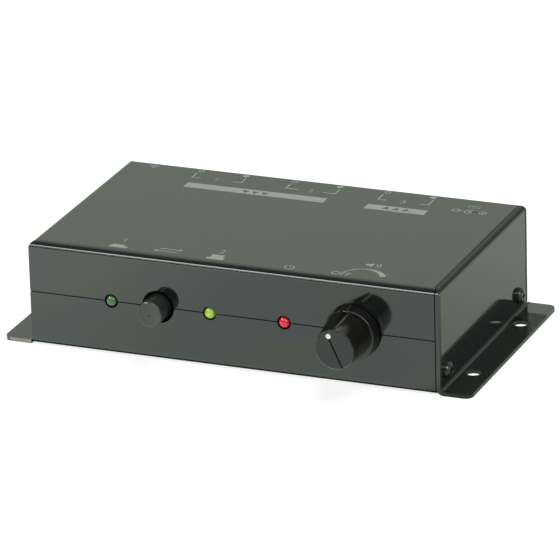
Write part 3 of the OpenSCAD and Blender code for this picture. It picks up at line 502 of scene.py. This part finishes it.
def plastic(name, colour, roughness, grain=0.004, size=2.5, ior=1.5, painted_lit_front=None):
    """Moulded plastic with a fine spark-eroded grain and a slight flow in its tone.
    Where the last argument is given, the plastic in front of that place along Y is painted paler: a painted
    highlight for a face lit more than the sides."""
    material, n = new_finish(name)
    at = n.place()
    flow = n.noise(at, 0.12, 3)
    pits = n.noise(at, size, 3, 0.65)
    tone = n.mix(flow, scaled(colour, 0.88), scaled(colour, 1.12))
    if painted_lit_front:
        # Painted highlight: the front face is made paler than the sides, for the light that it catches
        tone = n.tone(tone, 1 + n.smooth(n.split(at)[1], painted_lit_front + 0.1, painted_lit_front) * 0.76)
    n.surface(base_color=tone, roughness=roughness + (pits - 0.5) * 0.16 + flow * 0.05,
              normal=n.bump(pits, grain), ior=ior)
    return material


def lens(name, x, body, core=None, rim=None):
    """Dyed epoxy lens of a lamp, which glows from its middle when it is lit."""
    material, n = new_finish(name)
    across, _, up = n.split(n.place((x, 0, AXIS_Z)))
    out = n.length(across, up) / LENS_RADIUS
    haze = n.noise(n.place(), 1.3, 3)
    # Painted shade: the lens's tone darkens towards its rim; the same mask also dims the lamp's glow there
    edge = n.smooth(out, 0.55, 1.0)
    tone = n.mix(edge, body, scaled(body, 0.35))
    sockets = {"base_color": tone, "roughness": 0.08 + haze * 0.08, "normal": n.bump(haze, 0.004)}
    if core:
        die = n.smooth(out, 0.0, 0.5)
        glow = n.mix(die, core, rim)
        glow = n.mix(edge, glow, scaled(rim, 0.22))
        sockets["emission_color"] = n.tone(glow, 0.85 + haze * 0.3)
        sockets["emission_strength"] = 1.0
    n.surface(**sockets)
    return material


def printed_ink(name, colour):
    """Screen-printed ink with thin spots where the enamel shows through."""
    material, n = new_finish(name)
    at = n.place()
    grain = n.noise(at, 5, 3, 0.6)
    thin = n.smooth(n.noise(at, 1.4, 3), 0.55, 0.75)
    tone = n.mix(thin * 0.3, colour, scaled(colour, 0.55))
    tone = n.mix(grain * 0.25, tone, scaled(colour, 0.8))
    n.surface(base_color=tone, roughness=0.32 + grain * 0.15, normal=n.bump(grain, 0.002), ior=1.5)
    return material


def circuit_board(name):
    """Green solder mask over copper tracks, with bare laminate at the edges."""
    material, n = new_finish(name)
    at = n.place()
    normal = n.split(n.node("ShaderNodeNewGeometry", out="Normal"))
    flat = n.smooth(n.size_of(normal[2]), 0.5, 0.6)
    tracks = n.smooth(n.cell_edges(at, 0.28), 0.10, 0.14)
    weave = n.noise(n.place(scale=(1, 0.2, 1)), 3, 2)
    mask = n.mix(tracks, (0.02, 0.12, 0.035), (0.012, 0.07, 0.022))
    laminate = n.mix(weave, (0.42, 0.38, 0.2), (0.5, 0.47, 0.28))
    n.surface(base_color=n.mix(flat, laminate, mask), roughness=0.28 + weave * 0.15,
              normal=n.bump(tracks, -0.03))
    return material


def banded(name, body, middle_y):
    """Lacquer of a row of resistors along Y, with colour bands that change from one to the next."""
    material, n = new_finish(name)
    x, y, _ = n.split(n.place((0, middle_y, 0)))
    beyond_left, pitch = 200, 3.6
    index = n.math("FLOOR", (x + beyond_left) / pitch)
    speck = n.noise(n.place(), 2.2, 3)
    tone = n.mix(speck, scaled(body, 0.9), body)
    palette = ((0.0, (0.01, 0.01, 0.01)), (0.2, (0.2, 0.06, 0.02)), (0.4, (0.6, 0.04, 0.03)),
               (0.6, (0.75, 0.25, 0.03)), (0.8, (0.05, 0.3, 0.1)), (1.0, (0.3, 0.1, 0.4)))
    for i, place in enumerate((-2.1, -1.0, 0.1, 1.9)):
        band = n.smooth(n.size_of(y - place), 0.36, 0.3)
        pick = n.node("ShaderNodeTexWhiteNoise", {"noise_dimensions": "1D"}, {"W": index * 1.7 + i * 11.3})
        tone = n.mix(band, tone, n.ramp(pick, *palette))
    n.surface(base_color=tone, roughness=0.35 + speck * 0.15, normal=n.bump(speck, 0.01), coat_weight=0.3)
    return material


def can(name, sleeve, places, radius, top):
    """Sleeved electrolytic capacitors: a pale stripe on the sleeve and a scored aluminium top."""
    material, n = new_finish(name)
    fine = n.noise(n.place(), 2.5, 3)
    tone = n.mix(fine, scaled(sleeve, 0.85), scaled(sleeve, 1.15))
    bare = None
    for x, y in places:
        dx, dy, dz = n.split(n.place((x, y, top)))
        out = n.length(dx, dy) / radius
        stripe = (out < 1.3) * n.smooth(dx / radius, 0.72, 0.78)
        tone = n.mix(stripe, tone, (0.55, 0.56, 0.55))
        lid = n.smooth(out, 0.86, 0.82) * (dz > -0.4)
        score = n.smooth(n.math("MINIMUM", n.size_of(dx), n.size_of(dy)), 0.12, 0.2)
        tone = n.mix(lid, tone, n.mix(score, (0.2, 0.2, 0.2), (0.62, 0.63, 0.62)))
        bare = lid if bare is None else bare + lid
    n.surface(base_color=tone, roughness=0.32 + fine * 0.1, metallic=bare, normal=n.bump(fine, 0.004))
    return material


# ---- Operators ----

class PREAMP_OT_stage(bpy.types.Operator):
    """Sets the camera, the floor and the studio's lights"""
    bl_idname = "preamp.stage"
    bl_label = "Camera, Floor and Lights"

    def execute(self, context):
        scene = context.scene
        scene.view_settings.view_transform = "Standard"
        self.camera(scene)
        self.floor()
        self.lights()
        self.sky(scene)
        return {"FINISHED"}

    def camera(self, scene):
        azimuth, elevation, roll = (math.radians(a) for a in (22.608, 21.221, -1.622))
        distance, aside, height = 1.380564, -0.000037, 0.011904
        right = Vector((math.cos(azimuth), math.sin(azimuth), 0))
        back = Vector((math.sin(azimuth) * math.cos(elevation),
                       -math.cos(azimuth) * math.cos(elevation), math.sin(elevation)))
        up = back.cross(right)
        across = right * math.cos(roll) + up * math.sin(roll)
        upward = up * math.cos(roll) - right * math.sin(roll)
        place = right * aside + Vector((0, 0, height)) + back * distance
        data = bpy.data.cameras.new("camera")
        data.sensor_width = 36
        data.lens = 356.87
        data.clip_start = 0.05
        data.clip_end = 50
        camera = bpy.data.objects.new("camera", data)
        scene.collection.objects.link(camera)
        axes = Matrix((across, upward, back)).transposed()
        camera.matrix_world = Matrix.Translation(place) @ axes.to_4x4()
        scene.camera = camera

    def floor(self):
        """A wide pale floor, which keeps the object's shadow. Gloss mirrors it in painted tones: painted
        light, brighter in front than beside the object, and a painted shadow under it."""
        start()
        bpy.ops.mesh.primitive_circle_add(vertices=96, radius=6, fill_type="NGON", location=(0, 0, 0))
        floor = active()
        bpy.ops.object.mode_set(mode="EDIT")
        bpy.ops.mesh.inset(thickness=4)
        bpy.ops.object.mode_set(mode="OBJECT")
        floor.name = "floor"
        material, n = new_finish("floor_paper")
        x, y, _ = n.split(n.place())
        camera_ray, glossy_ray = n.rays("Is Camera Ray", "Is Glossy Ray")
        # Painted light: the mirrored floor is brighter in front, most of all to the left
        left = n.smooth(x, 0, -85) * (0.72 + n.smooth(y, -45, -80) * 0.28)
        fore = n.mix(left, (1.27, 1.44, 1.31), (1.83, 2.05, 1.86))
        aside = n.mix(n.smooth(y, -20, 95), (0.53, 0.58, 0.485), (0.77, 0.83, 0.72))
        patches = n.smooth(n.noise(n.place(), 0.022, 2), 0.42, 0.58)
        fore = n.node("ShaderNodeVectorMath", {"operation": "MULTIPLY"},
                      {0: fore, 1: n.mix(patches, (0.95, 0.985, 1.05), (1.05, 1.01, 0.94))})
        mirrored = n.mix(n.smooth(x + y * 0.4, 32, 44), fore, aside)
        soft = 1.0
        # Painted shadow: the mirrored floor is made dark under the case
        under = n.band(y, FRONT - 0.6, REAR + 0.6, soft) * n.smooth(n.size_of(x), SIDE + soft, SIDE)
        mirrored = n.tone(mirrored, 1 - under * 0.95)
        plain = n.node("ShaderNodeBsdfDiffuse", None, {"Color": (0.3, 0.3, 0.3, 1)})
        seen = n.node("ShaderNodeAddShader", None, {0: plain, 1: n.glow((0.76, 0.76, 0.76))})
        hidden = n.node("ShaderNodeMixShader", None,
                        {0: glossy_ray, 1: n.glow((0.8, 0.8, 0.78)), 2: n.glow(mirrored)})
        shown = n.node("ShaderNodeMixShader", None, {0: camera_ray, 1: hidden, 2: seen})
        n.node_out("ShaderNodeOutputMaterial", shown)
        floor.data.materials.append(material)

    def lights(self):
        """A broad light overhead, one to the left, and a small one to the right that shows in gloss."""
        for name, way, distance, width, height, radiance in (
                ("overhead", (0.25, 0.05, 0.97), 1.6, 0.8, 0.8, 10.0),
                ("left", (-0.444, -0.768, 0.462), 1.6, 0.68, 0.56, 7.6),
                ("right", (0.813, -0.27, 0.515), 1.6, 0.2, 0.2, 14.0)):
            data = bpy.data.lights.new(name, "AREA")
            data.shape = "RECTANGLE"
            data.size = width
            data.size_y = height
            data.energy = radiance * math.pi * width * height
            light = bpy.data.objects.new(name, data)
            bpy.context.scene.collection.objects.link(light)
            way = Vector(way).normalized()
            light.location = way * distance
            light.rotation_euler = way.to_track_quat("Z", "Y").to_euler()
            light.visible_glossy = name == "right"
            data.color = (0.94, 1.0, 0.96)

    def sky(self, scene):
        """Studio round the object, white to the camera. Gloss mirrors a pale backdrop behind the object,
        dim walls before it, and narrow strip lights, which draw fine lines on the folds and the knob."""
        world = scene.world or bpy.data.worlds.new("studio")
        scene.world = world
        world.use_nodes = True
        n = Nodes(world.node_tree)
        x, y, z = n.split(n.node("ShaderNodeTexCoord", out="Generated"))
        camera_ray, glossy_ray = n.rays("Is Camera Ray", "Is Glossy Ray")
        pale, dark, bright = (0.685, 0.755, 0.65), (0.09, 0.10, 0.09), (0.95, 1.0, 0.92)
        backdrop = n.ramp(z, (0.0, pale), (0.385, pale), (0.425, dark), (0.475, dark), (0.54, bright),
                          (0.82, bright), (0.94, (0.54, 0.58, 0.52)), (1.0, (0.18, 0.19, 0.18)))
        right_wall = n.mix(n.smooth(x, 0.22, 0.34), (0.52, 0.56, 0.50), (0.27, 0.29, 0.27))
        rear = n.mix(n.smooth(x, -0.02, -0.3), right_wall, backdrop)
        sides = n.smooth(n.size_of(x + 0.33), 0.12, 0.25) * n.smooth(z, 0.05, 0.2)
        fore = n.mix(sides, (0.15, 0.16, 0.15), (0.46, 0.50, 0.46))
        front_strip = (n.band(x, -0.41, -0.305, 0.01) * n.band(z, 0.23, 0.59, 0.02)
                       * n.smooth(n.size_of(z - 0.345), 0.055, 0.065))
        high_strip = n.band(x, -0.8, -0.46, 0.04) * n.smooth(z, 0.6, 0.62) * (z < 0.8)
        side_strip = n.band(y, -0.575, -0.47, 0.02) * n.smooth(x, -0.2, -0.1) * n.smooth(z, 0.44, 0.5)
        fore = n.mix(front_strip, fore, (9.8, 10.6, 10.1))
        fore = n.mix(n.math("MAXIMUM", high_strip, side_strip), fore, (14.5, 15.5, 14.8))
        mirrored = n.mix(n.smooth(y, -0.25, 0.25), fore, rear)
        kind = "ShaderNodeBackground"
        hidden = n.node("ShaderNodeMixShader", None,
                        {0: glossy_ray, 1: n.glow((0.62, 0.62, 0.61), kind), 2: n.glow(mirrored, kind)})
        shown = n.node("ShaderNodeMixShader", None, {0: camera_ray, 1: hidden, 2: n.glow((1, 1, 1), kind)})
        n.node_out("ShaderNodeOutputWorld", shown)


class PREAMP_OT_case(bpy.types.Operator):
    """Gives the cover, the tray and their screws their finishes"""
    bl_idname = "preamp.case_finish"
    bl_label = "Case Finish"

    def execute(self, context):
        colours = context.scene.preamp_colours
        give(enamel("gloss_enamel", tuple(colours.enamel)), "top_cover", "bottom_chassis")
        give(plastic("black_screw", (0.012, 0.013, 0.012), 0.2, 0.003, 4.0, 1.7), "cover_screws")
        return {"FINISHED"}


class PREAMP_OT_controls(bpy.types.Operator):
    """Gives the knob, the button and the lamps their finishes, and paints the knob's dot"""
    bl_idname = "preamp.controls"
    bl_label = "Knob, Button and Lamps"

    def execute(self, context):
        colours = context.scene.preamp_colours
        give(plastic("knob_plastic", tuple(colours.knob), 0.1, 0.0015), "volume_knob")
        button_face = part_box("select_button")[0][1] / MM
        # The button's front face gets a painted highlight, paler than its sides
        give(plastic("button_plastic", (0.016, 0.0177, 0.0153), 0.14, 0.0015, painted_lit_front=button_face + 0.3),
             "select_button")
        give(lens("phono_lens", centre_of("phono_lamp")[0], tuple(colours.unlit_green)), "phono_lamp")
        give(lens("aux_lens", centre_of("aux_lamp")[0], (0.10, 0.22, 0.03), tuple(colours.lit_lime),
                  (0.21, 0.32, 0.034)), "aux_lamp")
        give(lens("power_lens", centre_of("power_lamp")[0], (0.3, 0.01, 0.02), tuple(colours.lit_red),
                  (0.32, 0.006, 0.018)), "power_lamp")
        self.dot(context)
        return {"FINISHED"}

    def dot(self, context):
        """White paint that fills the dimple of the knob's pointer, a little hollow in the middle."""
        sizes = context.scene.preamp_sizes
        reach, floor, fill = 3.65, 0.34, 0.2
        turn = sizes.pointer_angle
        x = KNOB_X - reach * math.sin(turn)
        z = AXIS_Z + reach * math.cos(turn)
        start()
        bpy.ops.mesh.primitive_cylinder_add(
            vertices=40, radius=sizes.dot_radius * MM, depth=fill * MM, rotation=(math.pi / 2, 0, 0),
            location=(x * MM, (KNOB_FACE + floor - fill / 2) * MM, z * MM))
        settle()
        bpy.ops.object.mode_set(mode="EDIT")
        select_mesh("faces", lambda f: f.normal.y < -0.9)
        for _ in range(2):
            bpy.ops.mesh.inset(thickness=0.2 * MM)
            bpy.ops.transform.translate(value=(0, 0.04 * MM, 0))
        bpy.ops.object.mode_set(mode="OBJECT")
        piece = active()
        modifier("BEVEL", width=0.03 * MM, segments=2)
        bpy.ops.object.shade_smooth_by_angle(angle=math.radians(40))
        paint = plastic("dot_paint", (0.86, 0.86, 0.83), 0.3, 0.004, 4.0)
        name_piece(piece, "knob_dot", paint, "volume")


class PREAMP_OT_print(bpy.types.Operator):
    """Prints the lines, numerals and symbols on the case's top"""
    bl_idname = "preamp.print_marks"
    bl_label = "Print on the Top"

    def execute(self, context):
        self.sizes = context.scene.preamp_sizes
        self.ink = printed_ink("panel_ink", tuple(context.scene.preamp_colours.ink))
        self.sockets()
        self.bars()
        self.ground()
        self.inlet()
        self.select()
        self.volume()
        return {"FINISHED"}

    def put(self, name, *parts):
        return print_piece(name, parts, self.ink)

    def sockets(self):
        """A bracket under each pair of sockets, its number, and a ring or a dot for each channel."""
        w = self.sizes.line_width
        bracket_top, mark_y, mark_radius, mark_x = 26.7, 28.2, 0.85, 6.1
        for name, number, left, right, foot, inner in (
                ("phono", "1", -33.1, -19.6, 23.3, 2.3), ("aux", "2", -7.4, 5.9, 23.2, 3.4),
                ("output", "3", 17.6, 31.0, 22.9, 2.3)):
            self.put(f"bracket_{name}",
                     line(w, (left, bracket_top), (left, foot), (left + inner, foot)),
                     line(w, (right, bracket_top), (right, foot), (right - inner, foot)))
            middle = (left + right) / 2
            self.put(f"number_{name}", text(number, middle, foot, self.sizes.numeral_height))
            self.put(f"channels_{name}", ring(middle - mark_x, mark_y, mark_radius, 0.32),
                     disc(middle + mark_x, mark_y, mark_radius))

    def bars(self):
        """Bars that join the inputs and mark the output, with arrows cut out of them."""
        depth, pitch, arrow_radius = 3.3, 2.6, 1.15
        for name, x, y, width, turn in (("input", -13.6, 17.95, 37.9, math.pi),
                                        ("output", 24.4, 17.5, 16.0, 0)):
            bar = self.put(f"{name}_bar", plate(x, y, width, depth))
            for step in (-1, 0, 1):
                start()
                bpy.ops.mesh.primitive_cylinder_add(
                    vertices=3, radius=arrow_radius * MM, depth=1 * MM, rotation=(0, 0, turn),
                    location=((x + step * pitch) * MM, y * MM, TOP * MM))
                cut(bar, settle())

    def ground(self):
        """A stem over three lines that get shorter."""
        w = self.sizes.line_width
        x, y, gap = -45.3, 28.15, 0.7
        self.put("ground_symbol", plate(x, y + 0.9, w, 1.5), plate(x, y, 2.6, w),
                 plate(x, y - gap, 1.6, w), plate(x, y - 2 * gap, 0.7, w))

    def inlet(self):
        """Direct current, and its plug's positive middle."""
        w = 0.28
        x, y = 42.5, 25.0
        self.put("direct_current_symbol", plate(x, y + 0.5, 3.6, w),
                 *(plate(x + at, y - 0.5, 0.8, w) for at in (-1.4, 0, 1.4)))
        y = 21.6
        minus, plus, sign_radius = x - 3.7, x + 3.4, 1.05
        self.put("polarity_symbol",
                 ring(minus, y, sign_radius, w), plate(minus, y, 1.0, w), plate(x - 2.1, y, 0.9, w),
                 arc(x, y, 1.3, w, 50, 310), disc(x, y, 0.55), plate(x + 1.45, y, 1.5, w),
                 ring(plus, y, sign_radius, w), plate(plus, y, 1.0, w),
                 plate(plus, y + 0.32, w, 0.36), plate(plus, y - 0.32, w, 0.36))

    def select(self):
        """The button in and out, each with the number of the input that it picks."""
        self.put("button_in_symbol", plate(-31.2, -27.8, 4.8, 1.0), plate(-31.55, -26.8, 3.3, 1.0))
        self.put("button_out_symbol", plate(-5.4, -27.9, 4.6, 1.2), plate(-5.35, -26.35, 3.3, 1.9))
        height = self.sizes.numeral_height
        self.put("select_phono_number", text("1", -31.3, -23.2, height))
        self.put("select_aux_number", text("2", -5.3, -23.3, height))
        x, w = -18.4, self.sizes.line_width
        upper, lower, reach = -25.6, -27.2, 2.9
        self.put("select_arrows", plate(x, upper, 5.0, w), plate(x, lower, 5.0, w),
                 self.head(x + reach, upper, 0), self.head(x - reach, lower, math.pi))

    def head(self, x, y, turn):
        """Flat arrow head that points along X when it isn't turned."""
        start()
        bpy.ops.mesh.primitive_circle_add(vertices=3, radius=0.75 * MM, fill_type="NGON",
                                          location=(x * MM, y * MM, TOP * MM),
                                          rotation=(0, 0, turn - math.pi / 2))
        return settle()

    def volume(self):
        """Off, a wedge that widens with the volume, a loudspeaker, and the power lamp's sign."""
        self.put("off_word", text("OFF", 27.5, -27.9, 2.0, 1.05))
        x, y = 33.2, -28.9
        self.wedge(x, y)
        self.put("volume_line", arc(x, y, 5.77, 0.34, 100, 160, 20))
        w = 0.3
        x, y = 14.1, -27.8
        self.put("power_symbol", arc(x, y, 1.15, w, 125, 415), plate(x, y + 0.9, w, 1.2))
        x, y = 33.0, -20.3
        self.put("loudspeaker_symbol", plate(x - 1.4, y, 0.9, 1.1), self.horn(x - 0.95, y),
                 arc(x, y, 1.1, w, -42, 42, 10), arc(x, y, 1.9, w, -42, 42, 14))

    def horn(self, x, y):
        """The flared part of the loudspeaker sign."""
        plate(x, y, 0.02, 1.1)
        bpy.ops.object.mode_set(mode="EDIT")
        select_mesh("edges", lambda e: all(v.co.x > x * MM for v in e.verts))
        bpy.ops.mesh.extrude_region_move(TRANSFORM_OT_translate={"value": (0.9 * MM, 0, 0)})
        bpy.ops.transform.resize(value=(1, 2.3, 1))
        bpy.ops.object.mode_set(mode="OBJECT")
        return active()

    def wedge(self, x, y):
        """A disc less a smaller one to its left, and only the part between two angles round its centre."""
        radius, inner_radius, shift, sides = 5.95, 5.4, 1.0, 72
        wide_end, thin_end = math.radians(24), math.radians(100)
        wedge = self.put("volume_wedge", disc(x, y, radius, sides))
        inner = disc(x - shift, y, inner_radius, sides)
        bpy.ops.object.mode_set(mode="EDIT")
        bpy.ops.mesh.select_all(action="SELECT")
        bpy.ops.transform.translate(value=(0, 0, -0.5 * MM))
        bpy.ops.mesh.extrude_region_move(TRANSFORM_OT_translate={"value": (0, 0, 1 * MM)})
        bpy.ops.mesh.select_all(action="SELECT")
        bpy.ops.mesh.normals_make_consistent(inside=False)
        cut(wedge, inner)
        bpy.ops.object.mode_set(mode="EDIT")
        centre = Vector((x, y, TOP)) * MM
        for turn, side in ((wide_end, 1), (thin_end, -1)):
            bpy.ops.mesh.select_all(action="SELECT")
            bpy.ops.mesh.bisect(plane_co=centre, plane_no=(math.sin(turn) * side, -math.cos(turn) * side, 0),
                                clear_outer=True, use_fill=True)
        bpy.ops.object.mode_set(mode="OBJECT")


class PREAMP_OT_sockets(bpy.types.Operator):
    """Gives the rear sockets, the inlet and the ground terminal their finishes"""
    bl_idname = "preamp.sockets"
    bl_label = "Rear Sockets"

    def execute(self, context):
        give(metal("nickel_plate", (0.72, 0.72, 0.70), 0.16, (1, 0.1, 1)),
             "phono_jack_shells", "aux_jack_shells", "output_jack_shells", "ground_screw", "ground_washer",
             "dc_pin")
        give(metal("contact_brass", (0.78, 0.57, 0.25), 0.22, (1, 0.1, 1)), "jack_contacts",
             "dc_spring_contact", "ground_post", "power_switch_blade", "switch_wipers")
        give(plastic("white_moulding", (0.76, 0.75, 0.70), 0.3), "left_jack_inserts")
        give(plastic("red_moulding", (0.48, 0.025, 0.03), 0.3), "right_jack_inserts")
        give(plastic("black_moulding", (0.016, 0.017, 0.018), 0.42, 0.006), "phono_jack_block",
             "aux_jack_block", "output_jack_block", "dc_housing", "lamp_holders", "power_switch_case",
             "switch_frame", "pot_rotor")
        return {"FINISHED"}


class PREAMP_OT_inside(bpy.types.Operator):
    """Gives the board, its parts and the insides of the controls their finishes"""
    bl_idname = "preamp.inside"
    bl_label = "Board and Insides"

    def execute(self, context):
        give(circuit_board("solder_mask"), "main_board")
        give(metal("plated_steel", (0.60, 0.61, 0.60), 0.3, (1, 1, 0.15)), "board_standoffs",
             "board_screws", "pot_case", "pot_bushing", "switch_spring", "switch_latch")
        give(metal("turned_aluminium", (0.66, 0.67, 0.66), 0.25, (1, 12, 1)), "pot_shaft")
        give(metal("tinned_wire", (0.68, 0.69, 0.68), 0.24, (1, 1, 0.1)), "pot_pins",
             "power_switch_pins", "switch_pins", "lamp_leads", "jack_pins", "dc_pins", "chip_pins")
        give(plastic("ivory_moulding", (0.72, 0.68, 0.55), 0.35), "switch_plunger", "power_switch_cam")
        give(plastic("phenolic_sheet", (0.20, 0.10, 0.04), 0.5, 0.01, 1.2), "pot_track")
        give(plastic("moulded_epoxy", (0.018, 0.018, 0.02), 0.5, 0.01, 3.0), "preamp_chip",
             "buffer_chip", "regulator", "protection_diode")
        give(plastic("film_coating", (0.30, 0.025, 0.02), 0.25, 0.01, 1.0), "film_capacitors")
        give(plastic("ceramic_coating", (0.62, 0.33, 0.09), 0.4, 0.01, 1.5), "ceramic_capacitors")
        give(banded("resistor_lacquer", (0.55, 0.42, 0.24), centre_of("resistors")[1]), "resistors")
        self.cans()
        return {"FINISHED"}

    def cans(self):
        """Gives both groups of electrolytic capacitors their sleeves."""
        for node, name, colour in (("supply_capacitors", "supply_sleeve", (0.02, 0.025, 0.05)),
                                   ("coupling_capacitors", "coupling_sleeve", (0.02, 0.02, 0.022))):
            low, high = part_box(node)
            radius = (high[1] - low[1]) / 2 / MM
            places = self.places(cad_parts[node].data, high[2], radius)
            give(can(name, colour, places, radius, high[2] / MM), node)

    def places(self, mesh, top, radius):
        """Centres of the round tops of a group of capacitors, in millimetres."""
        points = sorted({(round(v.co.x / MM, 2), round(v.co.y / MM, 2)) for v in mesh.vertices
                         if v.co.z > top - 0.01 * MM})
        groups = []
        for point in points:
            for group in groups:
                if any(math.dist(point, other) < radius * 1.2 for other in group):
                    group.append(point)
                    break
            else:
                groups.append([point])
        return [(sum(x for x, _ in g) / len(g), sum(y for _, y in g) / len(g)) for g in groups]


class PREAMP_PT_panel(bpy.types.Panel):
    """Lists the steps that build the model"""
    bl_label = "Phono Preamp"
    bl_idname = "PREAMP_PT_panel"
    bl_space_type = "VIEW_3D"
    bl_region_type = "UI"
    bl_category = "Phono Preamp"

    def draw(self, context):
        for step in STEPS:
            self.layout.operator(step.bl_idname)
        for group in (context.scene.preamp_sizes, context.scene.preamp_colours):
            for name in group.__annotations__:
                self.layout.prop(group, name)


STEPS = (PREAMP_OT_stage, PREAMP_OT_case, PREAMP_OT_controls, PREAMP_OT_print, PREAMP_OT_sockets,
         PREAMP_OT_inside)
CLASSES = (PreampSizes, PreampColours, *STEPS, PREAMP_PT_panel)


def register():
    for each in CLASSES:
        bpy.utils.register_class(each)
    bpy.types.Scene.preamp_sizes = bpy.props.PointerProperty(type=PreampSizes)
    bpy.types.Scene.preamp_colours = bpy.props.PointerProperty(type=PreampColours)


def unregister():
    del bpy.types.Scene.preamp_colours
    del bpy.types.Scene.preamp_sizes
    for each in reversed(CLASSES):
        bpy.utils.unregister_class(each)


def main():
    register()
    for step in STEPS:
        group, name = step.bl_idname.split(".")
        getattr(getattr(bpy.ops, group), name)()
    start()


if __name__ == "__main__":
    main()
